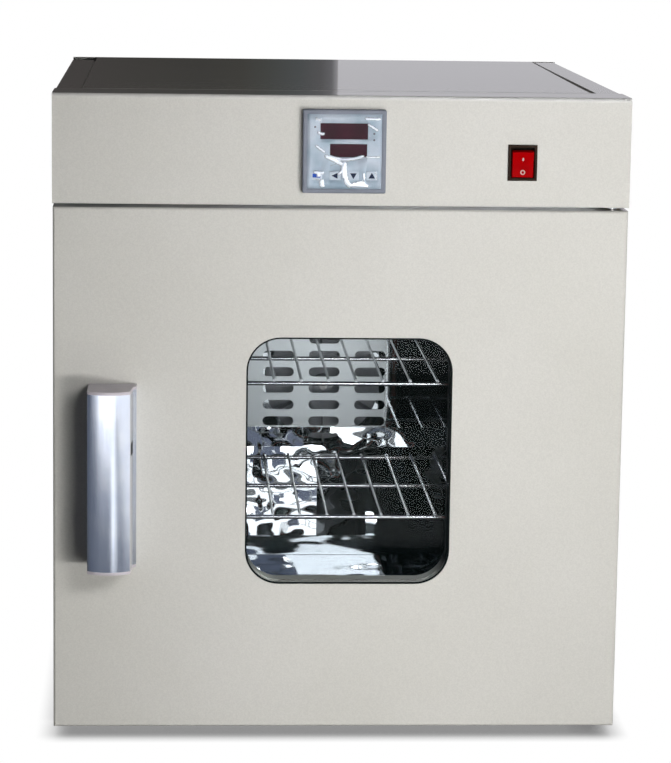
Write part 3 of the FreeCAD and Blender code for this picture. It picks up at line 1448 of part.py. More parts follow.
def pull_screw_places():
    """The middles of the two screws of the door pull."""
    return [("handle_x - grip_width / 2 + foot_strip",
             f"handle_level + {side} * pull_screw_spacing / 2") for side in (-1, 1)]


def crown(name, radius, bottom, height, back):
    """The part of an upright cylinder in front of a plane, the width of the grip."""
    round_bar = rod(name + "_round", ("handle_x", "handle_front + crown_radius", bottom), radius,
                    height)
    front_of = block(name + "_slab", ("handle_x - grip_width / 2", "handle_front", bottom),
                     ("grip_width", back, height))
    common = doc.addObject("Part::Common", name)
    common.Base = round_bar
    common.Tool = front_of
    return common


def make_pull():
    """The pull: a crowned grip on a stepped web with a strip on the door, and its end caps."""
    low = "handle_bottom + cap_thick"
    tall = "handle_height - 2 * cap_thick"
    outer = crown("grip_outer", "crown_radius", low, tall, "grip_crown")
    half = "(grip_width / 2)"
    inner_round = hole("grip_inner", "handle_x", "handle_front + crown_radius", low,
                       "crown_radius - grip_wall", tall, "Z")
    grip = cut("grip_plate", outer, [inner_round])
    right = f"{half} + web_lean"
    outer_x = f"{right} + web_step"
    web = prism("pull_web", "XY_Plane", [
        (f"{half} - web_wall * 3 / 2", "-handle_projection + grip_crown - web_wall / 2"),
        (half, "-handle_projection + grip_crown"),
        (right, "-web_step_depth - web_wall"), (outer_x, "-web_step_depth"), (outer_x, "0"),
        (f"{half} - foot_strip", "0"), (f"{half} - foot_strip", "-foot_strip_thick"),
        (f"{outer_x} - web_wall", "-foot_strip_thick"),
        (f"{outer_x} - web_wall", "-web_step_depth + web_wall / 2"),
        (f"{right} - web_wall", "-web_step_depth - web_wall / 2")], tall,
        ("handle_x", "front_face", low))
    slot = block("pull_slot", (
        f"handle_x + {half} - overrun", "front_face - pull_slot_depth",
        "handle_level + pull_slot_rise"), ("3 * overrun", "pull_slot_width", "pull_slot_height"))
    tools = [slot] + [hole(f"pull_strip_hole_{index}", x, "front_face - foot_strip_thick", z,
                           "pull_screw_radius", "foot_strip_thick")
                      for index, (x, z) in enumerate(pull_screw_places())]
    node("handle_grip", cut("handle_grip_cut", join("handle_grip_blank", [grip, web]), tools))
    caps = []
    for name, level in (("lower", "handle_bottom"),
                        ("upper", "handle_bottom + handle_height - cap_thick")):
        front = crown(f"{name}_cap_front", "crown_radius", level, "cap_thick", "grip_crown")
        plate = prism(f"{name}_cap_plate", "XY_Plane", [
            (f"-{half}", "0"), (f"-{half}", "-handle_projection + grip_crown"),
            (half, "-handle_projection + grip_crown"), (right, "-web_step_depth - web_wall"),
            (outer_x, "-web_step_depth"), (outer_x, "0")], "cap_thick",
            ("handle_x", "front_face", level))
        caps.append(join(f"{name}_cap", [front, plate]))
    node("handle_caps", group("cap_pair", caps))
    screws = []
    for index, (x, z) in enumerate(pull_screw_places()):
        head = rod(f"pull_screw_head_{index}", (
            x, "front_face - foot_strip_thick - pull_screw_head", z), "pull_screw_head_radius",
            "pull_screw_head", "Y")
        shank = rod(f"pull_screw_shank_{index}", (x, "front_face - foot_strip_thick", z),
                    "pull_screw_radius", "foot_strip_thick + pull_screw_length", "Y")
        screws.append(join(f"pull_screw_{index}", [head, shank]))
    node("handle_screws", group("pull_screw_pair", screws))


def finish():
    """Check every object, then write one file for each piece."""
    doc.recompute()
    failed = [item.Name for item in doc.Objects if {"Invalid", "Error"} & set(item.State)]
    if failed:
        raise RuntimeError("failed objects: " + ", ".join(failed))
    os.makedirs(PARTS_FOLDER, exist_ok=True)
    for name, item in nodes.items():
        shape = item.Shape
        if shape.isNull() or not shape.isValid() or not shape.Solids:
            raise RuntimeError("bad shape: " + name)
        shape.exportStep(f"{PARTS_FOLDER}/{name}.step")
    print(len(nodes), "pieces written")


make_side_panel("side_panel_left", -1, "left_flange_stop")
make_side_panel("side_panel_right", 1, "right_flange_stop")
make_top_cover()
make_control_fascia()
make_rear_panel()
make_rear_screws()
make_base_pan()
make_feet()
make_front_frame()
make_chamber_liner()
make_fan_baffle()
make_insulation()
make_inner_sheets()
make_runner("shelf_runner_left", -1)
make_runner("shelf_runner_right", 1)
make_shelf("shelf_lower", 0)
make_shelf("shelf_upper", 1)
make_heaters()
make_fan()
make_motor()
make_probes()
make_vent()
make_controller()
make_rocker()
make_electrics()
make_gasket()
make_catch()
make_hinges()
make_door_shell()
make_window()
make_pull()
finish()
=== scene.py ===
"""Dry heat sterilizer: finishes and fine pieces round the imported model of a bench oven."""

import json
import math

import bmesh
import bpy
import numpy as np
from mathutils import Matrix, Vector


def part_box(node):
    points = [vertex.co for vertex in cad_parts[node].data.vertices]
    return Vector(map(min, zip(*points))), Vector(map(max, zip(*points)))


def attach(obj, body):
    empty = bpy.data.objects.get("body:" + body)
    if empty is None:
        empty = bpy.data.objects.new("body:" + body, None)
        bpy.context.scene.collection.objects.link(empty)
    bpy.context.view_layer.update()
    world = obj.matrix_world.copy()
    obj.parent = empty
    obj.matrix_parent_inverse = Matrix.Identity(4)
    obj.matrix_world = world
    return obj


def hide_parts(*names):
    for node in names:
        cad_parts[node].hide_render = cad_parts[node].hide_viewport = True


bl_info = {
    "name": "Dry Heat Sterilizer",
    "version": (1, 0, 0),
    "blender": (4, 5, 0),
    "location": "View3D > Sidebar > Sterilizer",
    "description": "Finishes, fine pieces and a studio for a bench oven",
    "category": "Object",
}

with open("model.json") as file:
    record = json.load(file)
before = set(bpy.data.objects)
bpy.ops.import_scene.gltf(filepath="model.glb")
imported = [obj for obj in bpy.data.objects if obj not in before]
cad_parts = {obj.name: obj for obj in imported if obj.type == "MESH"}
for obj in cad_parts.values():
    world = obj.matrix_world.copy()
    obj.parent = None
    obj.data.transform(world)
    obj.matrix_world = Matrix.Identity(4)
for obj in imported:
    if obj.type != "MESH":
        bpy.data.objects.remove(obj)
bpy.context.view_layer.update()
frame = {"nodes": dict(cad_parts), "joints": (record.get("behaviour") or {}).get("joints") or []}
MILLIMETRE = 0.001


# Colour, nodes and meshes


def linear(code):
    """Turn an sRGB hex value such as #D8D5CC into linear red, green, blue and alpha."""
    channels = np.array([int(code[start:start + 2], 16) for start in (1, 3, 5)]) / 255
    straight = np.where(channels <= 0.04045, channels / 12.92, ((channels + 0.055) / 1.055) ** 2.4)
    return (*map(float, straight), 1.0)


def add(tree, kind, settings=None):
    """Add a node and set its properties and inputs. A value that is a node or socket is linked."""
    node = tree.nodes.new(kind)
    for name, value in (settings or {}).items():
        if isinstance(value, bpy.types.Node):
            value = next(socket for socket in value.outputs if socket.enabled)
        if isinstance(value, bpy.types.NodeSocket):
            tree.links.new(value, node.inputs[name])
        elif isinstance(name, str) and hasattr(node, name) and name not in node.inputs:
            setattr(node, name, value)
        else:
            node.inputs[name].default_value = value
    return node


def start_material(name):
    """An empty node material and its tree."""
    material = bpy.data.materials.new(name)
    material.use_nodes = True
    material.node_tree.nodes.clear()
    return material, material.node_tree


def surface(material, settings, relief=None, kind="ShaderNodeBsdfPrincipled"):
    """End a material with its shader and return it. Relief: a pattern, its height and strength."""
    tree = material.node_tree
    if relief:
        pattern, height, strength = relief
        settings["Normal"] = add(tree, "ShaderNodeBump", {
            "Height": pattern, "Distance": height, "Strength": strength})
    add(tree, "ShaderNodeOutputMaterial", {"Surface": add(tree, kind, settings)})
    return material


def place(tree):
    """The X, Y and Z of a point on a piece, as three sockets."""
    where = add(tree, "ShaderNodeTexCoord").outputs["Object"]
    return add(tree, "ShaderNodeSeparateXYZ", {0: where}).outputs


def noise(tree, size, detail=2.0, rough=0.5, stretch=(1, 1, 1)):
    """Noise whose features are about as wide as a size in metres, stretched along an axis."""
    where = add(tree, "ShaderNodeTexCoord").outputs["Object"]
    mapped = add(tree, "ShaderNodeMapping", {"Scale": stretch, "Vector": where})
    return add(tree, "ShaderNodeTexNoise", {
        "Scale": 1 / size, "Detail": detail, "Roughness": rough, "Vector": mapped})


def spread(tree, pattern, low, high):
    """Carry a noise, mostly from 0.3 to 0.7, between two numbers or two sRGB hex values."""
    if isinstance(low, str):
        factor = spread(tree, pattern, 0.0, 1.0)
        return add(tree, "ShaderNodeMix", {
            "data_type": "RGBA", 0: factor, 6: linear(low), 7: linear(high)})
    return add(tree, "ShaderNodeMapRange", {0: pattern, 1: 0.3, 2: 0.7, 3: low, 4: high})


def net(points, close_rows=False, close_columns=False):
    """Four-sided faces between neighbouring points of an array, either way closed if asked."""
    rows, columns = points.shape[:2]
    index = np.arange(rows * columns).reshape(rows, columns)
    if close_rows:
        index = np.vstack([index, index[:1]])
    if close_columns:
        index = np.hstack([index, index[:, :1]])
    return np.stack([index[:-1, :-1], index[:-1, 1:], index[1:, 1:], index[1:, :-1]],
                    axis=-1).reshape(-1, 4)


def gather(grids, close_columns=True):
    """The points of several grids in one array, and the faces of all of them."""
    faces = []
    start = 0
    for grid in grids:
        faces.append(net(grid, False, close_columns) + start)
        start += grid.shape[0] * grid.shape[1]
    return np.concatenate([grid.reshape(-1, 3) for grid in grids]), np.concatenate(faces)


def mesh_from(name, points, faces, crease=35.0, close=True):
    """A mesh: doubles merged, open ends closed, faces outwards, creases above an angle marked."""
    mesh = bpy.data.meshes.new(name)
    mesh.from_pydata(points.reshape(-1, 3).tolist(), [], faces.tolist())
    form = bmesh.new()
    form.from_mesh(mesh)
    bmesh.ops.remove_doubles(form, verts=form.verts, dist=1e-7)
    if close:
        rims = [edge for edge in form.edges if edge.is_boundary]
        bmesh.ops.holes_fill(form, edges=rims, sides=0)
    bmesh.ops.recalc_face_normals(form, faces=form.faces)
    form.to_mesh(mesh)
    form.free()
    mesh.shade_smooth()
    mesh.set_sharp_from_angle(angle=math.radians(crease))
    return mesh


def put_piece(name, mesh, body, material, replaces=()):
    """Link a mesh as an object that rides a body and takes a finish."""
    item = bpy.data.objects.new(name, mesh)
    bpy.context.scene.collection.objects.link(item)
    mesh.materials.clear()
    mesh.materials.append(material)
    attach(item, body)
    if replaces:
        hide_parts(*replaces)
    return item


def soften(item, width, segments, angle=30.0):
    """Round the edges of a piece that are sharper than an angle in degrees."""
    edges = item.modifiers.new("edges", "BEVEL")
    edges.width = width
    edges.segments = segments
    edges.limit_method = "ANGLE"
    edges.angle_limit = math.radians(angle)


def middle_of(node):
    """The middle of a node's box."""
    low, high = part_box(node)
    return (low + high) / 2


def parts_of(node):
    """The points of each separate solid in a CAD node, as one array a solid."""
    form = bmesh.new()
    form.from_mesh(frame["nodes"][node].data)
    bmesh.ops.remove_doubles(form, verts=form.verts, dist=1e-6)
    seen = set()
    parts = []
    for first in form.verts:
        if first in seen:
            continue
        seen.add(first)
        # The group grows while it is walked, until no neighbour is new
        group = [first]
        for vertex in group:
            for edge in vertex.link_edges:
                other = edge.other_vert(vertex)
                if other not in seen:
                    seen.add(other)
                    group.append(other)
        parts.append(np.array([vertex.co[:] for vertex in group]))
    form.free()
    return parts


def rounded_loop(width, height, corner, steps=14):
    """Points round a rectangle whose corners are quarter circles, as x and z pairs."""
    angle = np.linspace(0, math.pi / 2, steps + 1)
    loops = []
    for turn, (side_x, side_z) in enumerate(((1, 1), (-1, 1), (-1, -1), (1, -1))):
        whole = angle + turn * math.pi / 2
        loops.append(np.stack([side_x * (width / 2 - corner) + corner * np.cos(whole),
                               side_z * (height / 2 - corner) + corner * np.sin(whole)], axis=-1))
    return np.concatenate(loops)


def ring(name, centre, width, height, corner, section, crease=35.0):
    """A section of (inset, depth) pairs carried round a rounded rectangle in the XZ plane."""
    rows = []
    for inset, depth in section:
        loop = rounded_loop(width - 2 * inset, height - 2 * inset, max(corner - inset, 1e-4))
        rows.append(np.column_stack([centre[0] + loop[:, 0], np.full(len(loop), depth),
                                     centre[2] + loop[:, 1]]))
    points = np.array(rows)
    return mesh_from(name, points, net(points, True, True), crease)


def column(name, outline, levels, crease=35.0):
    """An outline of x and y pairs carried up through levels, with closed ends."""
    points = np.array([np.column_stack([outline, np.full(len(outline), level)])
                       for level in levels])
    return mesh_from(name, points, net(points, False, True), crease)


def arc(centre, radius, start, stop, count):
    """Points of a circle from one angle to another in degrees."""
    angle = np.radians(np.linspace(start, stop, count))
    return np.column_stack([centre[0] + radius * np.cos(angle), centre[1] + radius * np.sin(angle)])


# Finishes


def painted_steel(name, code, other, bend=None):
    """Powder coat stoved on sheet steel: a satin skin with fine orange peel, and a painted
    highlight that makes it pale on a bend.
    """
    material, tree = start_material(name)
    # Cloudy change of tone over some 150 mm, as the coat varies in thickness
    tone = spread(tree, noise(tree, 0.15, 3.0), code, other)
    # Grit of 1.2 mm, drawn coarser than the real 0.3 mm so that it shows
    grit = spread(tree, noise(tree, 0.0012, 1.0), "#F6F6F6", "#FFFFFF")
    coat = add(tree, "ShaderNodeMix", {
        "data_type": "RGBA", "blend_type": "MULTIPLY", 0: 1.0, 6: tone, 7: grit})
    if bend is not None:
        # A painted highlight makes the coat bright along the upper bend, most from the middle to
        # the right, where the light falls
        x, _, z = place(tree)
        rise = add(tree, "ShaderNodeMapRange", {
            0: z, 1: bend - 4.2 * MILLIMETRE, 2: bend - 2.0 * MILLIMETRE})
        along = add(tree, "ShaderNodeMapRange", {0: x, 1: -0.1, 2: 0.02, 3: 0.25, 4: 0.5})
        highlight_mask = add(tree, "ShaderNodeMath", {"operation": "MULTIPLY", 0: rise, 1: along})
        coat = add(tree, "ShaderNodeMix", {
            "data_type": "RGBA", 0: highlight_mask, 6: coat, 7: linear("#FFFFFF")})
    # The coat's gloss sharpens towards grazing, as on the top seen from the front
    view = add(tree, "ShaderNodeLayerWeight", {"Blend": 0.5})
    rough = add(tree, "ShaderNodeMapRange", {
        0: view.outputs["Facing"], 1: 0.6, 2: 0.85, 3: 0.5, 4: 0.05})
    peel = noise(tree, 0.0022, 2.0)
    return surface(material, {"IOR": 1.3, "Base Color": coat, "Roughness": rough},
                   (peel, 0.000004, 0.3))


def mirror_steel(name, code, wave, floor, back, dent):
    """Bright annealed stainless sheet: a mirror with hand-sized waves and a dented floor."""
    material, tree = start_material(name)
    x, y, z = place(tree)
    # Trays have dented the floor right of a line, so that it slopes there towards the front
    low = add(tree, "ShaderNodeMapRange", {0: z, 1: floor, 2: floor + 0.002, 3: 1.0, 4: 0.0})
    right = add(tree, "ShaderNodeMapRange", {0: x, 1: dent, 2: dent + 0.006})
    reach, steepness = 0.3, 0.25
    hollow = add(tree, "ShaderNodeMapRange", {
        0: y, 1: back - reach, 2: back, 3: -reach * steepness, 4: 0.0})
    for factor in (low, right):
        hollow = add(tree, "ShaderNodeMath", {"operation": "MULTIPLY", 0: hollow, 1: factor})
    ripple = add(tree, "ShaderNodeMath", {
        "operation": "MULTIPLY", 0: noise(tree, 0.07, 1.5), 1: wave})
    relief = add(tree, "ShaderNodeMath", {"operation": "ADD", 0: hollow, 1: ripple})
    smears = noise(tree, 0.03, 4.0, 0.6)
    return surface(material, {"Base Color": linear(code), "Metallic": 1.0,
                              "Roughness": spread(tree, smears, 0.02, 0.06)}, (relief, 1.0, 1.0))


def plate_steel(name, code, matt_code, level, edge, lean):
    """The baffle's sheet: matt above, where its skin is still on, and a bulged mirror below."""
    material, tree = start_material(name)
    x, _, z = place(tree)
    # The skin covers the part above a torn line, up to a straight edge at the right
    torn = spread(tree, noise(tree, 0.02, 2.0), level - 0.0012, level + 0.0012)
    above = add(tree, "ShaderNodeMath", {"operation": "SUBTRACT", 0: z, 1: torn})
    high = add(tree, "ShaderNodeMapRange", {0: above, 1: 0.0, 2: 0.001})
    side = add(tree, "ShaderNodeMapRange", {0: x, 1: edge, 2: edge + 0.002, 3: 1.0, 4: 0.0})
    skin = add(tree, "ShaderNodeMath", {"operation": "MULTIPLY", 0: high, 1: side})
    # The bare part leans forward below the line, most at the left, and waves
    below = add(tree, "ShaderNodeMath", {"operation": "SUBTRACT", 0: level, 1: z})
    drop = add(tree, "ShaderNodeMath", {"operation": "MAXIMUM", 0: below, 1: 0.0})
    slope = add(tree, "ShaderNodeMapRange", {0: x, 1: 0.0, 2: 0.05, 3: lean, 4: 0.0})
    bulge = add(tree, "ShaderNodeMath", {"operation": "MULTIPLY", 0: drop, 1: slope})
    fade = add(tree, "ShaderNodeMapRange", {0: drop, 1: 0.0, 2: 0.02, 3: 0.0, 4: 0.0042})
    ripple = add(tree, "ShaderNodeMath", {
        "operation": "MULTIPLY", 0: noise(tree, 0.035, 1.0), 1: fade})
    relief = add(tree, "ShaderNodeMath", {"operation": "ADD", 0: bulge, 1: ripple})
    tone = add(tree, "ShaderNodeMix", {
        "data_type": "RGBA", 0: skin, 6: linear(code), 7: linear(matt_code)})
    rough = add(tree, "ShaderNodeMapRange", {0: skin, 3: 0.03, 4: 0.3})
    return surface(material, {"Metallic": 1.0, "Base Color": tone, "Roughness": rough},
                   (relief, 1.0, 1.0))


def rolled_steel(name, code, other, rough=0.34):
    """Satin or zinc plated sheet with a grain of fine lines."""
    material, tree = start_material(name)
    grain = noise(tree, 0.004, 3.0, 0.6, (1, 1, 12))
    return surface(material, {
        "Metallic": 1.0, "Base Color": spread(tree, grain, code, other),
        "Roughness": spread(tree, grain, rough - 0.06, rough + 0.06)}, (grain, 0.00002, 0.4))


def trim_lacquer(name, dark, pale, front, sill):
    """Stoved lacquer on the window's reveal: dark with painted shade, but pale with painted light
    on the sill behind the front edge.
    """
    material, tree = start_material(name)
    _, y, z = place(tree)
    # Painted light makes the sill behind the front edge pale; painted shade keeps the sides and the
    # top dark, and the front edge is dark too
    behind = add(tree, "ShaderNodeMapRange", {0: y, 1: front, 2: front + 0.0005})
    below = add(tree, "ShaderNodeMapRange", {0: z, 1: sill, 2: sill + 0.018, 3: 1.0, 4: 0.0})
    painted_light_mask = add(tree, "ShaderNodeMath", {"operation": "MULTIPLY", 0: behind, 1: below})
    return surface(material, {
        "Roughness": 0.5, "IOR": 1.2,
        "Base Color": add(tree, "ShaderNodeMix", {
            "data_type": "RGBA", 0: painted_light_mask, 6: linear(dark), 7: linear(pale)})})


def moulded_plastic(name, code, other, rough=0.42, grain_height=0.00003, ior=1.49):
    """Moulded plastic with a fine spark eroded grain, and pressed or enamelled parts like it."""
    material, tree = start_material(name)
    cloud = noise(tree, 0.02, 2.0)
    return surface(material, {
        "IOR": ior, "Base Color": spread(tree, cloud, code, other),
        "Roughness": spread(tree, cloud, rough - 0.05, rough + 0.05)},
        (noise(tree, 0.0007, 1.0), grain_height, 0.5))


def anodised_aluminium(name):
    """Extruded aluminium, etched and anodised: a pale blue grey satin with faint die lines."""
    material, tree = start_material(name)
    lines = noise(tree, 0.0012, 3.0, 0.6, (1, 1, 0.02))
    return surface(material, {
        "Metallic": 1.0, "Base Color": spread(tree, noise(tree, 0.02, 3.0), "#E9EBF2", "#DCE0EC"),
        "Roughness": spread(tree, lines, 0.18, 0.24)}, (lines, 0.00001, 0.3))


def clear_glass(name):
    """Toughened float glass: nearly clear, with a faint green grey and wiping smears."""
    material, tree = start_material(name)
    return surface(material, {
        "Base Color": linear("#101A18"), "Alpha": 0.06, "IOR": 1.5,
        "Roughness": spread(tree, noise(tree, 0.02, 3.0), 0.0, 0.02)})


def polythene_film(name, alpha):
    """Clear blown film that turns to bright glare where it is creased and lifted."""
    material, tree = start_material(name)
    crease = add(tree, "ShaderNodeAttribute", {"attribute_name": "glare"}).outputs["Fac"]
    grain = noise(tree, 0.0015, 3.0, 0.6)
    highlight_mask = add(tree, "ShaderNodeMath", {
        "operation": "MULTIPLY", 0: crease, 1: spread(tree, grain, 0.7, 1.3)})
    sharp = add(tree, "ShaderNodeMapRange", {0: highlight_mask, 1: 0.25, 2: 0.6})
    return surface(material, {
        "Base Color": linear("#FAFCFE"), "IOR": 1.2, "Metallic": sharp,
        "Alpha": add(tree, "ShaderNodeMapRange", {0: sharp, 3: alpha, 4: 0.97}),
        "Roughness": spread(tree, grain, 0.42, 0.52)})


def mineral_wool(name, code, other):
    """Pressed mineral wool: matted fibres with darker binder."""
    material, tree = start_material(name)
    fibre = noise(tree, 0.006, 6.0, 0.7, (1, 1, 4))
    return surface(material, {
        "Roughness": 0.95, "Sheen Weight": 0.2, "Base Color": spread(tree, fibre, code, other)},
        (fibre, 0.0008, 0.8))


def heater_sheath(name):
    """Stainless heater sheath, oxidised blue brown by its own heat."""
    material, tree = start_material(name)
    heat = noise(tree, 0.018, 3.0)
    return surface(material, {
        "Metallic": 1.0, "Base Color": spread(tree, heat, "#4A4038", "#3C4254"),
        "Roughness": spread(tree, heat, 0.35, 0.55)})


def dress(material, nodes):
    """Give the CAD nodes that a string names a finish."""
    for node in nodes.split():
        for slot in frame["nodes"][node].material_slots:
            slot.material = material


# Sizes and colours that a user would change


def length(name, text, default):
    """A length in metres that the user can set."""
    return bpy.props.FloatProperty(name=name, description=text, default=default,
                                   subtype="DISTANCE", unit="LENGTH")


def tint(name, thing, default):
    """A colour that the user can set."""
    return bpy.props.StringProperty(name=name, description="sRGB hex value of " + thing,
                                    default=default)


class PaintSettings(bpy.types.PropertyGroup):
    """The powder coat of the cabinet and the door."""
    colour: tint("Paint", "the coat", "#D6D4CE")
    shade: tint("Shade", "the coat's cloudy variation", "#D1CFC8")
    gap: length("Gap", "How far the top cover's front right corner falls short", 0.0042)


class WindowSettings(bpy.types.PropertyGroup):
    """The reveal round the window and the seal round the chamber's mouth."""
    corner: length("Corner", "Radius of the window's corners", 0.030)
    flange: length("Flange", "Width of the flange behind the skin", 0.007)
    lip: length("Lip", "Width of the thin lip seen from the front", 0.0015)
    seal_width: length("Seal width", "Width of the seal round the mouth", 0.011)
    # The sill's pale colour is painted light
    colour: tint("Sill", "the window's sill", "#F0F5EE")


class PullSettings(bpy.types.PropertyGroup):
    """The cross section of the door pull."""
    crown: length("Crown", "Height of the grip's crown", 0.0065)
    grip_width: length("Grip width", "Width of the grip seen from the front", 0.0368)
    grip_wall: length("Grip wall", "Thickness of the grip", 0.003)
    web_wall: length("Web wall", "Thickness of the web", 0.0026)
    web_lean: length("Web lean", "How far the web leans out", 0.0024)
    web_step: length("Web step", "Step of the web near the door", 0.0026)
    step_depth: length("Step depth", "Height of the step above the door", 0.014)
    strip: length("Strip", "Width of the strip on the door", 0.024)
    strip_thick: length("Strip thickness", "Thickness of the strip on the door", 0.0025)
    slot_rise: length("Slot rise", "Slot's lower end above the middle of the pull", 0.0224)
    slot_height: length("Slot height", "Height of the slot in the web", 0.0115)


class FilmSettings(bpy.types.PropertyGroup):
    """The wrinkled clear film on the controller."""
    wrinkle: length("Wrinkle", "Height of the deepest wrinkle", 0.0016)
    alpha: bpy.props.FloatProperty(
        name="Cover", description="How much of what is behind the flat film it hides",
        default=0.01, min=0.0, max=1.0, subtype="FACTOR")


class SwitchSettings(bpy.types.PropertyGroup):
    """The rocker switch's paddle."""
    colour: tint("Paddle", "the paddle", "#AE0206")
    tilt: bpy.props.FloatProperty(
        name="Tilt", description="Tilt of the paddle at rest", default=math.radians(9),
        subtype="ANGLE", unit="ROTATION")
    pivot_depth: length("Pivot depth", "Pivot behind the panel's face", 0.003)


class StageSettings(bpy.types.PropertyGroup):
    """Light and background."""
    key_power: bpy.props.FloatProperty(
        name="Key light", description="Power of the light at the right", default=4.07,
        subtype="POWER", unit="POWER")
    ambient: bpy.props.FloatProperty(
        name="Ambient", description="Strength of the even light from all round", default=0.02,
        min=0.0, max=2.0)
    floor_colour: tint("Floor", "the floor", "#7C7C7A")


SETTINGS = {
    "sterilizer_paint": PaintSettings, "sterilizer_window": WindowSettings,
    "sterilizer_pull": PullSettings, "sterilizer_film": FilmSettings,
    "sterilizer_switch": SwitchSettings, "sterilizer_stage": StageSettings,
}


# Operators, one for each piece or group of like pieces


class STERILIZER_OT_finishes(bpy.types.Operator):
    """Give every node of the model the finish of its real material"""
    bl_idname = "sterilizer.finishes"
    bl_label = "Finishes"

    def execute(self, context):
        self.paint(context.scene.sterilizer_paint)
        self.chamber()
        dress(clear_glass("Toughened Glass"), "outer_glass inner_glass")
        dress(mineral_wool("Mineral Wool", "#C8BE93", "#A89C70"),
              "insulation_jacket insulation_back door_insulation")
        dress(heater_sheath("Oxidised Heater Sheath"), "heater_elements")
        # Nodes, then the name, two colours and roughness of a rolled or plated metal
        for nodes, *values in (
                ("front_frame shelf_runner_left shelf_runner_right temperature_probes vent_tube",
                 "Satin Stainless", "#B9BBBC", "#A9ACAE"),
                # The door's inner pan is darkened with painted shade, as it faces away from the
                # light
                ("door_inner_pan", "Dark Rolled Stainless", "#5C6063", "#505457", 0.2),
                ("base_pan electrics_tray motor_bulkhead motor_bracket hinge_plates catch_strikes",
                 "Zinc Plated Steel", "#A9ABA8", "#8E9294", 0.42),
                ("shelf_lower shelf_upper", "Electropolished Wire", "#E6E7E8", "#D6D9DC", 0.16),
                ("foot_screws hinge_pins fan_shaft",
                 "Bright Zinc Screws", "#C9C8C2", "#B4B5B4", 0.28),
                ("relay_block fan_impeller vent_damper",
                 "Plain Aluminium", "#A6A8AA", "#9699A0", 0.4)):
            dress(rolled_steel(*values), nodes)
        # Nodes, then the name, two colours, roughness, height of the grain and IOR of a moulding
        for nodes, *values in (
                ("controller_bezel controller_case",
                 "Moulded ABS Grey", "#868B97", "#7C818C", 0.5, 0.00003, 1.2),
                ("rocker_bezel power_inlet",
                 "Moulded Nylon Black", "#2A1B10", "#24150C", 0.5, 0.00003, 1.2),
                ("key_1 key_2 key_3 key_4", "Keycap ABS", "#BCC6D2", "#B2BDCA", 0.35),
                ("controller_displays",
                 "Smoked Acrylic Maroon", "#3C1625", "#321420", 0.15, 0.0, 1.05),
                ("handle_caps", "End Cap ABS", "#CDC6CC", "#C3BCC2", 0.4),
                ("terminal_block limit_thermostat", "Phenolic Ivory", "#E0DACA", "#D6D0BF"),
                ("glass_seals", "Silicone Rubber Red Brown", "#8A4334", "#7E3C2E", 0.55),
                ("feet", "Nitrile Rubber", "#191919", "#202020", 0.6),
                ("hinge_bushes", "Sintered Bronze", "#8F6B3D", "#7D5C34", 0.5),
                ("catch_magnets", "Ferrite", "#3A3838", "#2F2D2D", 0.5),
                ("fan_motor", "Stove Enamel Black", "#17181A", "#1E1F21", 0.3)):
            dress(moulded_plastic(*values), nodes)
        return {"FINISHED"}

    def paint(self, colours):
        """The coat of the cabinet and the door, and the same with a painted highlight on the bend
        for the fascia.
        """
        coat = painted_steel("Powder Coated Steel", colours.colour, colours.shade)
        dress(coat, "side_panel_left side_panel_right rear_panel door_skin")
        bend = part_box("control_fascia")[1].z
        dress(painted_steel("Powder Coated Fascia With Painted Highlight", colours.colour, colours.shade, bend),
              "control_fascia")

    def chamber(self):
        """The mirror of the liner, the baffle and the strip that hangs from it to the floor."""
        steel = 1.0 * MILLIMETRE
        wave, dent = 2.2 * MILLIMETRE, 64 * MILLIMETRE
        low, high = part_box("fan_baffle")
        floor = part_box("chamber_liner")[0].z + steel
        mirror = mirror_steel("Bright Annealed Stainless", "#C9CED1", wave, floor, low.y, dent)
        dress(mirror, "chamber_liner")
        outline = [(low.x, low.y), (high.x, low.y), (high.x, low.y + steel),
                   (low.x, low.y + steel)]
        strip = column("baffle_foot", outline, (floor + 0.2 * MILLIMETRE, low.z - 0.1 * MILLIMETRE))
        put_piece("baffle_foot", strip, "cabinet", mirror)
        # Where the skin of the baffle ends, and how far its bare part leans
        skin_level, skin_edge, lean = 211.4 * MILLIMETRE, 67.2 * MILLIMETRE, 0.17
        dress(plate_steel("Bright Annealed Plate", "#D2D7D9", "#EEF4F4", skin_level, skin_edge,
                          lean), "fan_baffle")


class STERILIZER_OT_top_cover(bpy.types.Operator):
    """Make the top cover, whose right edge leaves a gap that widens to the front"""
    bl_idname = "sterilizer.top_cover"
    bl_label = "Top cover"

    def execute(self, context):
        paint = context.scene.sterilizer_paint
        low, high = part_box("top_cover")
        outline = np.array([(low.x, low.y), (high.x - paint.gap, low.y), (high.x, high.y),
                            (low.x, high.y)])
        mesh = column("cover_sheet", outline, [low.z, high.z], 30)
        coat = painted_steel("Powder Coated Cover", paint.colour, paint.shade)
        cover = put_piece("cover_sheet", mesh, "cabinet", coat, ["top_cover"])
        soften(cover, 0.3 * MILLIMETRE, 2)
        return {"FINISHED"}


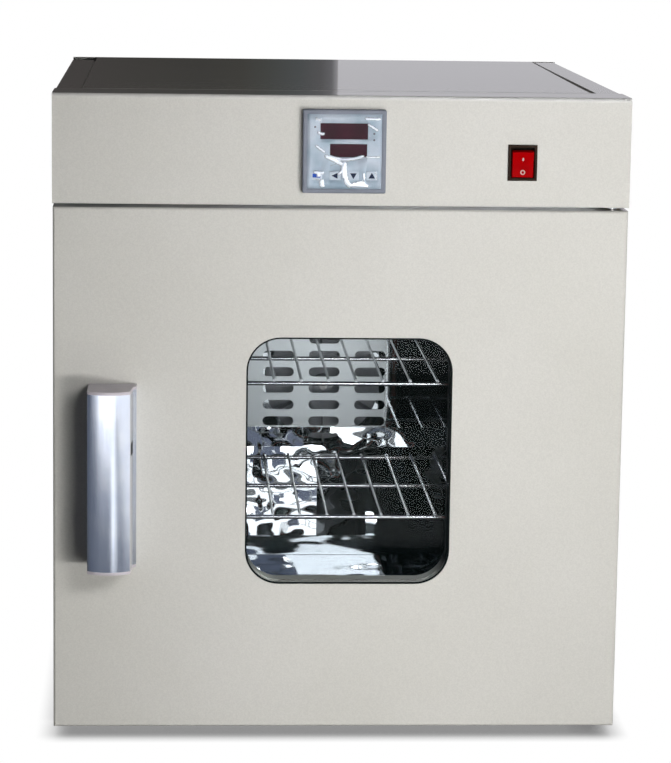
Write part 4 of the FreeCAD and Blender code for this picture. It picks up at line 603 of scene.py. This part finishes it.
class STERILIZER_OT_window_frame(bpy.types.Operator):
    """Make the thin reveal round the window, with its rolled front edge"""
    bl_idname = "sterilizer.window_frame"
    bl_label = "Window reveal"

    def execute(self, context):
        sizes = context.scene.sterilizer_window
        low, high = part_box("window_frame")
        front, back = low.y, high.y
        width = high.x - low.x - 2 * sizes.flange
        height = high.z - low.z - 2 * sizes.flange
        play = 0.1 * MILLIMETRE
        steel = 1.2 * MILLIMETRE
        # A rolled front edge, then a straight wall to the glass and a flange behind the skin
        radius = (sizes.lip - play) / 2
        roll = arc((play + radius, front + radius), radius, 180, 360, 9)
        section = [*roll, (sizes.lip, back), (-sizes.flange, back), (-sizes.flange, front + steel),
                   (play, front + steel)]
        mesh = ring("window_reveal", middle_of("window_frame"), width, height, sizes.corner,
                    section, 50)
        # The reveal and the spacer carry painted shade on their sides and top and painted light on
        # their sill
        reveal = trim_lacquer("Trim Lacquer With Painted Shade And Light", "#141A1A", sizes.colour,
                              front + 1.6 * MILLIMETRE, low.z + sizes.flange + 3 * MILLIMETRE)
        put_piece("window_reveal", mesh, "door", reveal, ["window_frame"])
        dress(reveal, "window_spacer")
        return {"FINISHED"}


class STERILIZER_OT_door_gasket(bpy.types.Operator):
    """Make the hollow bulb seal round the mouth of the chamber"""
    bl_idname = "sterilizer.door_gasket"
    bl_label = "Door gasket"

    def execute(self, context):
        width = context.scene.sterilizer_window.seal_width
        low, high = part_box("door_gasket")
        back = high.y
        deep = back - low.y
        foot = back - 0.25 * deep
        # On a flat foot stands a bulb: across a cosine, and up the power 0.8 of a sine
        angle = np.radians(np.linspace(0, 180, 17))
        bulb = np.column_stack([width / 2 * (1 - 0.82 * np.cos(angle)),
                                foot - 0.75 * deep * np.sin(angle) ** 0.8])
        section = [(0, back), (0, foot), *bulb, (width, foot), (width, back)]
        mesh = ring("mouth_seal", middle_of("door_gasket"), high.x - low.x, high.z - low.z,
                    2 * width, section)
        rubber = moulded_plastic("Silicone Seal", "#8A4334", "#7E3C2E", 0.5)
        put_piece("mouth_seal", mesh, "cabinet", rubber, ["door_gasket"])
        return {"FINISHED"}


class STERILIZER_OT_door_pull(bpy.types.Operator):
    """Make the extruded pull: a crowned grip on a leaning, stepped web"""
    bl_idname = "sterilizer.door_pull"
    bl_label = "Door pull"

    def execute(self, context):
        sizes = context.scene.sterilizer_pull
        low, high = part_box("handle_grip")
        mesh = column("pull_grip", self.outline(sizes, low, high), [low.z, high.z], 30)
        metal = anodised_aluminium("Anodised Aluminium")
        grip = put_piece("pull_grip", mesh, "door", metal, ["handle_grip"])
        # The slot runs through the web, right of the grip's middle and behind its crown
        level = (low.z + high.z) / 2 + sizes.slot_rise
        left = low.x + sizes.grip_width - 5 * MILLIMETRE
        self.cut_slot(context, grip, (left, low.y + 11 * MILLIMETRE, level),
                      (16 * MILLIMETRE, 17 * MILLIMETRE, sizes.slot_height))
        return {"FINISHED"}

    def outline(self, sizes, low, high):
        """The section: two arcs of one centre for the grip, and the web's corners between them."""
        half = sizes.grip_width / 2
        centre_x = low.x + half
        edge = centre_x + half
        front, door = low.y, high.y
        radius = (half ** 2 + sizes.crown ** 2) / (2 * sizes.crown)
        reach = math.degrees(math.asin(half / radius))
        outer = arc((centre_x, front + radius), radius, 270 - reach, 270 + reach, 33)
        inner_radius = radius - sizes.grip_wall
        inner_reach = math.degrees(math.acos((radius - sizes.crown) / inner_radius))
        inner = arc((centre_x, front + radius), inner_radius, 270 + inner_reach,
                    270 - inner_reach, 25)
        right = edge + sizes.web_lean
        outer_x = right + sizes.web_step
        wall = sizes.web_wall
        step = door - sizes.step_depth
        web = np.array([
            (right, step - wall), (outer_x, step), (outer_x, door), (edge - sizes.strip, door),
            (edge - sizes.strip, door - sizes.strip_thick),
            (outer_x - wall, door - sizes.strip_thick), (outer_x - wall, step + wall / 2),
            (right - wall, step - wall / 2), (edge - wall * 1.15, front + sizes.crown + wall)])
        return np.concatenate([outer, web, inner])

    def cut_slot(self, context, grip, corner, extent):
        """Take a box out of the grip with a Boolean and keep the result as its mesh."""
        form = bmesh.new()
        bmesh.ops.create_cube(form, size=1.0)
        for vertex in form.verts:
            vertex.co = Vector([corner[axis] + (vertex.co[axis] + 0.5) * extent[axis]
                                for axis in range(3)])
        box = bpy.data.meshes.new("slot_tool")
        form.to_mesh(box)
        form.free()
        # The slot's cut faces take a dark finish: painted shade for the shadowed inside of the pull
        box.materials.append(moulded_plastic("Slot Painted Shade", "#3C4042", "#303335", 0.6))
        tool = bpy.data.objects.new("slot_tool", box)
        context.scene.collection.objects.link(tool)
        cut = grip.modifiers.new("slot", "BOOLEAN")
        cut.operation = "DIFFERENCE"
        cut.solver = "EXACT"
        cut.material_mode = "TRANSFER"
        cut.object = tool
        context.view_layer.update()
        done = grip.evaluated_get(context.evaluated_depsgraph_get())
        whole = bpy.data.meshes.new_from_object(done)
        grip.modifiers.clear()
        old = grip.data
        grip.data = whole
        whole.set_sharp_from_angle(angle=math.radians(30))
        bpy.data.meshes.remove(old)
        bpy.data.objects.remove(tool)
        bpy.data.meshes.remove(box)


class STERILIZER_OT_screws(bpy.types.Operator):
    """Make cross head screws for the rear panel and the pull"""
    bl_idname = "sterilizer.screws"
    bl_label = "Screws"

    def execute(self, context):
        bright = rolled_steel("Bright Zinc Pan Heads", "#C9C8C2", "#B4B5B4", 0.28)
        for node, body, outward in (("rear_screws", "cabinet", 1), ("handle_screws", "door", -1)):
            grids = []
            for spots in parts_of(node):
                grids += self.screw(spots, outward)
            name = node.replace("screws", "cross_heads")
            put_piece(name, mesh_from(name, *gather(grids), 40), body, bright,
                      [node])
        return {"FINISHED"}

    def screw(self, spots, outward):
        """The head and the shank of a screw, from the points of its plain solid."""
        low, high = spots.min(0), spots.max(0)
        centre = (low + high) / 2
        radius = (high[0] - low[0]) / 2
        seat, end = (low[1], high[1]) if outward > 0 else (high[1], low[1])
        # The head is as deep as the widest part of the solid
        away = np.hypot(spots[:, 0] - centre[0], spots[:, 2] - centre[2])
        wide = spots[away > 0.95 * radius]
        depth = wide[:, 1].max() - wide[:, 1].min()
        top = end - outward * depth
        thread = 0.45 * radius
        turns = np.linspace(0, 2 * math.pi, 24, endpoint=False)
        shank = [np.column_stack([centre[0] + thread * np.cos(turns), np.full_like(turns, level),
                                  centre[2] + thread * np.sin(turns)]) for level in (top, seat)]
        return [self.head((centre[0], top, centre[2]), radius, depth, outward), np.array(shank)]

    def head(self, centre, radius, height, outward):
        """Rings of points: a dome, with a cross sunk where the sine of twice the turn is near 0."""
        turns = np.linspace(0, 2 * math.pi, 48, endpoint=False)
        steps = np.array([0.0, 0.08, 0.16, 0.24, 0.32, 0.42, 0.52, 0.6, 0.75, 0.9, 1.0])
        span, turn = np.meshgrid(steps, turns, indexing="ij")
        dome = height * np.sqrt(np.clip(1 - (0.9 * span) ** 2, 0, 1))
        across = np.abs(np.sin(2 * turn)) * span
        cross = np.clip(1 - across / 0.16, 0, 1) * np.clip((0.55 - span) / 0.1, 0, 1)
        rise = dome - 0.6 * height * cross
        rise[-1] = 0.0
        return np.stack([centre[0] + radius * span * np.cos(turn), centre[1] + outward * rise,
                         centre[2] + radius * span * np.sin(turn)], axis=-1)


class STERILIZER_OT_controller_face(bpy.types.Operator):
    """Make the controller's printed foil, its lamps and the marks on its keys"""
    bl_idname = "sterilizer.controller_face"
    bl_label = "Controller face"

    def execute(self, context):
        # The foil lies 1 mm behind the bezel's rim
        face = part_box("controller_bezel")[0].y + 1.0 * MILLIMETRE
        centre = middle_of("controller_bezel")
        self.foil(centre, face)
        self.lamps(centre, face)
        self.key_marks()
        return {"FINISHED"}

    def foil(self, centre, face):
        """A grid of faces cut at the edges of all openings, less those inside an opening."""
        half = 32.2 * MILLIMETRE
        lift = 0.12 * MILLIMETRE
        holes = self.openings()
        cuts_x = sorted({centre.x - half, centre.x + half}
                        | {edge for hole in holes for edge in hole[:2]})
        cuts_z = sorted({centre.z - half, centre.z + half}
                        | {edge for hole in holes for edge in hole[2:]})
        grid_x, grid_z = np.meshgrid(cuts_x, cuts_z, indexing="ij")
        points = np.stack([grid_x, np.full_like(grid_x, face - lift), grid_z], axis=-1)
        faces = net(points)
        x, _, z = points.reshape(-1, 3)[faces].mean(1).T
        keep = np.ones(len(faces), bool)
        for left, right, bottom, top in holes:
            keep &= ~((x > left) & (x < right) & (z > bottom) & (z < top))
        mesh = mesh_from("face_foil", points, faces[keep], close=False)
        polyester = moulded_plastic("Printed Polyester Foil", "#C6CFDB", "#98ACBC", 0.4, 0.0, 1.2)
        foil = put_piece("face_foil", mesh, "cabinet", polyester)
        foil.modifiers.new("thick", "SOLIDIFY").thickness = 0.1 * MILLIMETRE

    def openings(self):
        """Left, right, bottom and top of the openings for the keys and the two displays."""
        # A key's box takes in its hidden flange, which reaches this far past the foil's opening
        trim = 0.8 * MILLIMETRE
        holes = []
        for number in range(1, 5):
            low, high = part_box(f"key_{number}")
            holes.append((low.x + trim, high.x - trim, low.z + trim, high.z - trim))
        for spots in parts_of("controller_displays"):
            low, high = spots.min(0), spots.max(0)
            holes.append((low[0], high[0], low[2], high[2]))
        return holes

    def lamps(self, centre, face):
        """Small domed indicator lamps beside the displays, each a quarter turn of an ellipse."""
        spots = np.array([(25.5, 21), (25.5, 15.5), (25.5, 10), (-25.5, 21)]) * MILLIMETRE
        radius, height, lift = np.array([0.9, 0.4, 0.1]) * MILLIMETRE
        turns = np.linspace(0, 2 * math.pi, 20, endpoint=False)
        climb, turn = np.meshgrid(np.radians(np.linspace(0, 90, 6)), turns, indexing="ij")
        domes = [np.stack([centre.x + x + radius * np.cos(climb) * np.cos(turn),
                           face - lift - height * np.sin(climb),
                           centre.z + z + radius * np.cos(climb) * np.sin(turn)], axis=-1)
                 for x, z in spots]
        mesh = mesh_from("indicator_lamps", *gather(domes), 60)
        epoxy = moulded_plastic("Diffused Lamp Epoxy", "#77727C", "#6C6872", 0.25, 0.0)
        put_piece("indicator_lamps", mesh, "cabinet", epoxy)

    def key_marks(self):
        """A generic mark on each key: a bar and three arrow heads, in millimetres."""
        for key, ink, outline in (
                ("key_1", "#2A4FB0", [(-3.4, -1.7), (3.2, -1.7), (3.2, 1.7), (-3.4, 1.7)]),
                ("key_2", "#1E2740", [(-3.1, 0.0), (2.2, -2.6), (2.2, 2.6)]),
                ("key_3", "#1E2740", [(-2.9, 2.2), (0.0, -2.8), (2.9, 2.2)]),
                ("key_4", "#1E2740", [(-2.9, -2.2), (2.9, -2.2), (0.0, 2.8)])):
            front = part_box(key)[0].y
            centre = middle_of(key)
            pairs = np.array(outline) * MILLIMETRE
            points = np.array([
                np.column_stack([centre.x + pairs[:, 0], np.full(len(pairs), depth),
                                 centre.z + pairs[:, 1]])
                for depth in (front - 0.08 * MILLIMETRE, front + 0.05 * MILLIMETRE)])
            mesh = mesh_from(key + "_mark", points, net(points, False, True))
            print_film = moulded_plastic("Screen Ink " + key, ink, ink, 0.5, 0.0, 1.1)
            put_piece(key + "_mark", mesh, key, print_film)


class STERILIZER_OT_film(bpy.types.Operator):
    """Make the clear film over the controller, creased and lifted as it was left on"""
    bl_idname = "sterilizer.film"
    bl_label = "Wrinkled film"

    def execute(self, context):
        sizes = context.scene.sterilizer_film
        low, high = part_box("controller_film")
        x, z = np.meshgrid(np.linspace(low.x, high.x, 150), np.linspace(low.z, high.z, 150),
                           indexing="ij")
        u = (x - low.x) / (high.x - low.x)
        v = (z - low.z) / (high.z - low.z)
        folds = self.folds(u, v)
        bubbles = self.bubbles(u, v)
        lift = np.clip(folds * 0.7 + bubbles, 0, 1)
        # The rim lies flat: the lift falls to nothing over the outer tenth
        rim = np.clip(np.minimum.reduce([u, 1 - u, v, 1 - v]) / 0.1, 0, 1)
        y = high.y - sizes.wrinkle * lift * rim * (2 - rim)
        points = np.stack([x, y, z], axis=-1)
        mesh = mesh_from("wrinkled_film", points, net(points), 70, False)
        glare = mesh.attributes.new("glare", "FLOAT", "POINT")
        glare.data.foreach_set("value", folds.ravel().astype(np.float32))
        film = put_piece("wrinkled_film", mesh, "cabinet",
                         polythene_film("Polyethylene Film", sizes.alpha),
                         ["controller_film"])
        film.modifiers.new("thick", "SOLIDIFY").thickness = 0.05 * MILLIMETRE
        return {"FINISHED"}

    def bubbles(self, u, v):
        """Soft swells and fine ones: products of two sines whose phases bend with each other."""
        soft = 0.16 * (1 + np.sin(9 * u + 4 * np.sin(5 * v)) * np.sin(11 * v + 3 * np.sin(7 * u)))
        fine = 0.05 * (1 + np.sin(31 * u + 9 * np.sin(9 * v)) * np.sin(27 * v + 8 * np.cos(8 * u)))
        return soft + fine

    def folds(self, u, v):
        """Sharp folds: each a tent whose height falls off with the distance from a bent line."""
        lift = np.zeros_like(u)
        # Start u and v, end u and v, bend, half width and height, as shares of the film's side
        for start_u, start_v, end_u, end_v, bend, width, height in (
                (0.096, 0.585, 0.228, 0.486, 0.0, 0.030, 0.9),
                (0.224, 0.446, 0.48, 0.32, 0.0, 0.046, 0.9),
                (0.26, 0.440, 0.77, 0.440, 0.05, 0.036, 1.0),
                (0.79, 0.429, 1.00, 0.429, 0.0, 0.020, 0.8),
                (0.50, 0.355, 0.515, 0.12, 0.012, 0.062, 1.0),
                (0.52, 0.14, 0.61, 0.01, 0.02, 0.056, 1.0),
                (0.71, 0.095, 0.72, 0.0, 0.0, 0.075, 1.0),
                (0.60, 0.035, 0.84, 0.0, 0.0, 0.070, 1.0),
                (0.415, 0.175, 0.47, 0.245, 0.0, 0.032, 0.8),
                (0.77, 0.21, 0.78, 0.11, 0.0, 0.030, 0.7),
                (0.776, 0.962, 1.00, 0.955, 0.0, 0.030, 1.0),
                (0.817, 0.887, 0.963, 0.792, 0.0, 0.030, 0.9),
                (0.123, 0.768, 0.22, 0.745, 0.01, 0.034, 0.9),
                (0.068, 0.213, 0.22, 0.205, 0.0, 0.036, 0.9),
                (0.14, 0.20, 0.145, 0.15, 0.0, 0.045, 0.9),
                (0.19, 0.115, 0.205, 0.0, 0.01, 0.052, 0.9),
                (0.10, 0.105, 0.215, 0.108, 0.0, 0.022, 0.5),
                (0.93, 0.24, 0.955, 0.10, 0.0, 0.050, 0.34),
                (0.08, 0.955, 0.18, 0.930, 0.0, 0.060, 0.42),
                (0.66, 0.02, 0.80, 0.05, 0.0, 0.090, 0.8),
                (0.30, 0.30, 0.40, 0.34, 0.0, 0.020, 0.4)):
            along_u, along_v = end_u - start_u, end_v - start_v
            reach = math.hypot(along_u, along_v)
            along_u, along_v = along_u / reach, along_v / reach
            step = ((u - start_u) * along_u + (v - start_v) * along_v) / reach
            off = -(u - start_u) * along_v + (v - start_v) * along_u
            off = off + bend * np.sin(math.pi * np.clip(step, 0, 1))
            fade = np.clip(step / 0.15 + 0.4, 0, 1) * np.clip((1 - step) / 0.15 + 0.4, 0, 1)
            tent = np.clip(1 - np.abs(off) / width, 0, 1)
            lift = np.maximum(lift, height * tent * fade)
        return lift


class STERILIZER_OT_rocker(bpy.types.Operator):
    """Make the red paddle with its two marks"""
    bl_idname = "sterilizer.rocker"
    bl_label = "Rocker"
    # Half the height of the paddle
    top = 11.2 * MILLIMETRE

    def execute(self, context):
        sizes = context.scene.sterilizer_switch
        low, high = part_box("rocker")
        half = (high.x - low.x) / 2 - 0.8 * MILLIMETRE
        level = np.linspace(-self.top, self.top, 25)
        # Behind the face the section narrows to a wedge
        edge, deep, narrow = -0.8 * MILLIMETRE, 4.8 * MILLIMETRE, 5.8 * MILLIMETRE
        back = [(edge, self.top), (deep, narrow), (deep, -narrow), (edge, -self.top)]
        outline = np.concatenate([np.column_stack([self.face(level, sizes), level]), back])
        rows = np.array([np.column_stack([np.full(len(outline), x), outline])
                         for x in (-half, half)])
        points = self.tilt(rows, sizes)
        mesh = mesh_from("rocker_paddle", points, net(points, False, True), 40)
        red = moulded_plastic("Polycarbonate Red", sizes.colour, "#9C0206", 0.4, 0.0, 1.05)
        paddle = put_piece("rocker_paddle", mesh, "rocker", red, ["rocker"])
        soften(paddle, 0.6 * MILLIMETRE, 3, 40)
        self.marks(sizes)
        return {"FINISHED"}

    def face(self, level, sizes):
        """The face at a level, before the pivot: a parabola that dips 2 mm between its ends."""
        middle, ends = 4 * MILLIMETRE + sizes.pivot_depth, 6 * MILLIMETRE + sizes.pivot_depth
        return -(middle + (ends - middle) * (level / self.top) ** 2)

    def tilt(self, points, sizes):
        """Turn points about the X axis and carry them to the joint's pivot."""
        joint = next(joint for joint in frame["joints"] if joint["child"] == "rocker")
        turn = np.array(Matrix.Rotation(sizes.tilt, 3, "X"))
        return points @ turn.T + np.array(joint["pos_m"])

    def marks(self, sizes):
        """A bar and a ring, as thin elliptic bands of ink on the dipped face."""
        turns = np.linspace(0, 2 * math.pi, 40, endpoint=False)
        white = moulded_plastic("Pad Print White", "#CFB4AE", "#C4A8A2", 0.5, 0.0, 1.2)
        ink = 0.12 * MILLIMETRE
        sunk = 0.03 * MILLIMETRE
        # Level of the middle, then half the width and height of the outer and the inner ellipse
        for name, level, outer, inner in (
                ("rocker_ring", -0.0069, (0.0021, 0.0021), (0.0012, 0.0012)),
                ("rocker_bar", 0.0045, (0.0008, 0.0015), (0.00005, 0.00005))):
            rows = []
            for (wide, tall), rise in ((inner, 0), (inner, ink), (outer, ink), (outer, 0)):
                z = level + tall * np.sin(turns)
                rows.append(np.column_stack([wide * np.cos(turns),
                                             self.face(z, sizes) - rise + sunk, z]))
            points = self.tilt(np.array(rows), sizes)
            mesh = mesh_from(name, points, net(points, True, True))
            put_piece(name, mesh, "rocker", white)


class STERILIZER_OT_louvres(bpy.types.Operator):
    """Make the pressed hoods over the rear panel's slots"""
    bl_idname = "sterilizer.louvres"
    bl_label = "Louvres"

    def execute(self, context):
        low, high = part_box("rear_panel")
        # Middle of a group, half the width of a hood, its rise, drop and top above its slot
        group, half, rise, drop, top = np.array([110, 36.5, 3.2, 5.5, 5.2]) * MILLIMETRE
        start, pitch = 150 * MILLIMETRE, 11 * MILLIMETRE
        # Each hood is a quarter-round shell, which the root of 1 less u to the 4th tapers
        u, v = np.meshgrid(np.linspace(-1, 1, 29), np.linspace(0, 1, 9), indexing="ij")
        swell = np.sqrt(np.clip(1 - u ** 4, 0, 1))
        y = high.y + rise * swell * np.sin(v * math.pi / 2)
        z = low.z + start + top - drop * (1 - np.cos(v * math.pi / 2)) * swell
        hoods = [np.stack([side * group + u * half, y, z + row * pitch], axis=-1)
                 for side in (-1, 1) for row in range(8)]
        mesh = mesh_from("louvre_hoods", *gather(hoods, False), 40, False)
        coat = bpy.data.materials["Powder Coated Steel"]
        item = put_piece("louvre_hoods", mesh, "cabinet", coat)
        item.modifiers.new("thick", "SOLIDIFY").thickness = 0.8 * MILLIMETRE
        return {"FINISHED"}


class STERILIZER_OT_stage(bpy.types.Operator):
    """Set the camera, the lights, the background and the floor"""
    bl_idname = "sterilizer.stage"
    bl_label = "Stage"

    def execute(self, context):
        scene = context.scene
        scene.view_settings.view_transform = "Standard"
        self.camera(scene)
        self.world(scene)
        self.floor(scene)
        self.curtain(scene)
        self.cards(scene)
        self.lights(scene)
        return {"FINISHED"}

    def camera(self, scene):
        """The photograph's viewpoint: 2.8 m away, a little left of the middle, looking down."""
        yaw, pitch, roll = map(math.radians, (3.163, 9.507, 0.809))
        upright = Matrix(((1, 0, 0), (0, 0, -1), (0, 1, 0)))
        view = (Matrix.Rotation(roll, 3, "Z") @ Matrix.Rotation(pitch, 3, "X") @ upright
                @ Matrix.Rotation(yaw, 3, "Z"))
        turned = Matrix((view[0], -view[1], -view[2])).transposed()
        # The focal length and the height of the picture in pixels
        focal, picture = 2950.9, 763
        lens = bpy.data.cameras.new("camera")
        lens.sensor_fit = "VERTICAL"
        lens.sensor_height = 36.0
        lens.lens = focal * lens.sensor_height / picture
        lens.clip_end = 30
        camera = bpy.data.objects.new("camera", lens)
        scene.collection.objects.link(camera)
        camera.matrix_world = Matrix.Translation((-0.1438, -2.7962, 0.7475)) @ turned.to_4x4()
        scene.camera = camera

    def world(self, scene):
        """Weak light, stronger from behind, white for the camera and glass, and walls for gloss."""
        ambient = scene.sterilizer_stage.ambient
        world = bpy.data.worlds.new("studio")
        scene.world = world
        world.use_nodes = True
        tree = world.node_tree
        tree.nodes.clear()
        rays = add(tree, "ShaderNodeLightPath").outputs
        seen = add(tree, "ShaderNodeMath", {
            "operation": "MAXIMUM", 0: rays["Is Camera Ray"], 1: rays["Is Transmission Ray"]})
        way = add(tree, "ShaderNodeTexCoord").outputs["Generated"]
        rearward = add(tree, "ShaderNodeSeparateXYZ", {0: way}).outputs["Y"]
        behind = add(tree, "ShaderNodeMapRange", {0: rearward, 1: 0.2, 2: 0.7})
        even = add(tree, "ShaderNodeBackground", {
            "Color": linear("#F4F3F0"),
            "Strength": add(tree, "ShaderNodeMapRange", {0: behind, 3: ambient, 4: 15 * ambient})})
        walls = add(tree, "ShaderNodeBackground", {"Color": add(tree, "ShaderNodeMix", {
            "data_type": "RGBA", 0: behind, 6: linear("#8790A8"), 7: linear("#D4D3D8")})})
        white = add(tree, "ShaderNodeBackground", {"Color": linear("#FFFFFF"), "Strength": 1.0})
        unseen = add(tree, "ShaderNodeMixShader", {0: rays["Is Glossy Ray"], 1: even, 2: walls})
        whole = add(tree, "ShaderNodeMixShader", {0: seen, 1: unseen, 2: white})
        add(tree, "ShaderNodeOutputWorld", {"Surface": whole})

    def plane(self, scene, name, low, high, material):
        """A flat stage piece between two opposite corners, which share one coordinate."""
        low, high = np.array(low), np.array(high)
        across = np.flatnonzero(low != high)[0]
        corners = np.array([low, low, high, high])
        corners[1, across] = high[across]
        corners[3, across] = low[across]
        mesh = bpy.data.meshes.new(name)
        mesh.from_pydata(corners.tolist(), [], [(0, 1, 2, 3)])
        mesh.materials.append(material)
        item = bpy.data.objects.new(name, mesh)
        scene.collection.objects.link(item)
        return item

    def floor(self, scene):
        """A floor that the camera sees as white, with a soft shadow close to what stands on it."""
        material, tree = start_material("Studio Floor")
        seen = add(tree, "ShaderNodeLightPath").outputs["Is Camera Ray"]
        matt = add(tree, "ShaderNodeBsdfDiffuse", {
            "Color": linear(scene.sterilizer_stage.floor_colour)})
        close = add(tree, "ShaderNodeAmbientOcclusion", {"Distance": 20 * MILLIMETRE})
        glow = add(tree, "ShaderNodeEmission", {"Strength": 1.0, "Color": close})
        surface(material, {0: seen, 1: matt, 2: glow}, kind="ShaderNodeMixShader")
        self.plane(scene, "floor", (-6, -6, 0), (6, 6, 0), material)

    def card(self, scene, name, low, high, colour, strength):
        """A card that only reflections see. Its colour is a hex value or a function of the tree."""
        material, tree = start_material(name)
        tone = linear(colour) if isinstance(colour, str) else colour(tree)
        surface(material, {"Color": tone, "Strength": strength}, kind="ShaderNodeEmission")
        item = self.plane(scene, name.lower().replace(" ", "_"), low, high, material)
        item.visible_camera = False
        item.visible_diffuse = False
        item.visible_shadow = False
        item.visible_volume_scatter = False

    def curtain(self, scene):
        """A dark curtain behind the cabinet, which ends a little right of the middle."""
        self.card(scene, "Curtain", (-4.0, 2.0, 0.0), (0.118, 2.0, 1.6), self.fold_tones, 1.0)

    def fold_tones(self, tree):
        """Tones from left to right across the curtain, whose folds pale towards its right edge."""
        x = place(tree)["X"]
        tone = linear("#444040")
        start = -0.33
        for stop, code in (
                (-0.2, "#3D3B39"), (-0.107, "#393836"), (-0.04, "#3D3C39"), (0.0, "#424442"),
                (0.057, "#4C5052"), (0.09, "#59595C"), (0.108, "#6C6C70"), (0.118, "#A2A1A5")):
            step = add(tree, "ShaderNodeMapRange", {0: x, 1: start, 2: stop})
            tone = add(tree, "ShaderNodeMix", {
                "data_type": "RGBA", 0: step, 6: tone, 7: linear(code)})
            start = stop
        return tone

    def cards(self, scene):
        """Flags and reflectors that the gloss needs, as a room gives them."""
        # What lies on the bench: name, x and y of two corners, colour and strength
        bench = 2 * MILLIMETRE
        for name, left, far, right, near, code, strength in (
                ("White Sheet", -0.06, -1.8, 0.25, -1.0, "#EEF3F6", 1.9),
                ("Bench Left", -2.5, -1.8, -0.06, -0.5, "#5A6270", 1.0),
                ("Bench Near", -0.06, -1.0, 0.6, -0.4, "#5A6270", 1.0),
                ("Bench Mid", 0.25, -1.8, 0.6, -1.0, "#8A929C", 1.0),
                ("Bench Right", 0.6, -1.8, 3.0, -0.3, "#F0F4F8", 1.2),
                ("Bench Far", -2.5, -3.4, 3.0, -1.8, "#7C8494", 1.0)):
            self.card(scene, name, (left, far, bench), (right, near, bench), code, strength)
        # White screens in front: name, x and z of two corners, and strength
        front = -1.02
        for name, left, bottom, right, top, strength in (
                ("Screen Hem", -0.12, 0.15, 3.0, 0.20, 0.4),
                ("Screen", -0.12, 0.20, 3.0, 0.34, 3.0),
                ("Screen Left", -0.8, 0.125, -0.12, 0.44, 1.9),
                ("Screen Far Left", -1.6, 0.13, -0.8, 0.44, 1.3),
                ("Screen Top", 0.015, 0.34, 3.0, 0.44, 3.4)):
            self.card(scene, name, (left, front, bottom), (right, front, top), "#F6FAFF", strength)
        self.card(scene, "Side Screen", (3.0, front, 0.15), (3.0, 1.0, 0.44), "#F6FAFF", 1.8)
        # The lamp at the right as the gloss sees it, kept below the level of the top
        self.card(scene, "Lamp Face", (-0.01, -1.1, 0.46), (0.43, -1.1, 0.565), "#FFFFFF", 15.0)

    def lights(self, scene):
        """Lamps at the right of the door, far off low at the right, and for the sides and back."""
        # Name, place, what it points at, its sizes, and its share of the key's power
        for name, spot, aim, (wide, tall), share in (
                ("key", (0.21, -1.1, 0.62), (0.15, -0.26, 0.45), (0.44, 0.2), 1.0),
                ("fill", (0.8, -1.8, 0.1), (0.1, -0.26, 0.12), (0.6, 0.14), 3.45),
                ("low", (0.04, -0.65, 0.03), (-0.1, -0.26, 0.06), (0.3, 0.06), 0.085),
                ("back", (0.0, 1.9, 0.35), (0.0, 0.27, 0.3), (1.2, 0.4), 4.5),
                ("left", (-1.6, 0.9, 0.3), (-0.25, 0.05, 0.3), (0.8, 0.4), 3.4),
                ("right", (1.6, 0.9, 0.3), (0.25, 0.05, 0.3), (0.8, 0.4), 3.4)):
            lamp = bpy.data.lights.new(name, "AREA")
            lamp.shape = "RECTANGLE"
            lamp.size, lamp.size_y = wide, tall
            lamp.energy = share * scene.sterilizer_stage.key_power
            item = bpy.data.objects.new(name, lamp)
            scene.collection.objects.link(item)
            turn = (Vector(aim) - Vector(spot)).to_track_quat("-Z", "Y")
            item.matrix_world = Matrix.Translation(spot) @ turn.to_matrix().to_4x4()
            item.visible_camera = False
            item.visible_glossy = False


class STERILIZER_PT_panel(bpy.types.Panel):
    """Lists the settings and the steps"""
    bl_idname = "STERILIZER_PT_panel"
    bl_label = "Dry Heat Sterilizer"
    bl_space_type = "VIEW_3D"
    bl_region_type = "UI"
    bl_category = "Sterilizer"

    def draw(self, context):
        for name, group in SETTINGS.items():
            box = self.layout.box()
            for field in group.__annotations__:
                box.prop(getattr(context.scene, name), field)
        for step in STEPS:
            self.layout.operator(step.bl_idname)


STEPS = (
    STERILIZER_OT_stage, STERILIZER_OT_finishes, STERILIZER_OT_top_cover,
    STERILIZER_OT_window_frame, STERILIZER_OT_door_gasket, STERILIZER_OT_door_pull,
    STERILIZER_OT_screws, STERILIZER_OT_controller_face, STERILIZER_OT_film,
    STERILIZER_OT_rocker, STERILIZER_OT_louvres,
)
CLASSES = (*SETTINGS.values(), *STEPS, STERILIZER_PT_panel)


def register():
    """Register the classes and hang the settings on the scene."""
    for item in CLASSES:
        bpy.utils.register_class(item)
    for name, group in SETTINGS.items():
        setattr(bpy.types.Scene, name, bpy.props.PointerProperty(type=group))


def unregister():
    """Undo register."""
    for name in SETTINGS:
        delattr(bpy.types.Scene, name)
    for item in reversed(CLASSES):
        bpy.utils.unregister_class(item)


def main():
    """Build the scene step by step."""
    register()
    for step in STEPS:
        family, name = step.bl_idname.split(".")
        getattr(getattr(bpy.ops, family), name)()


if __name__ == "__main__":
    main()
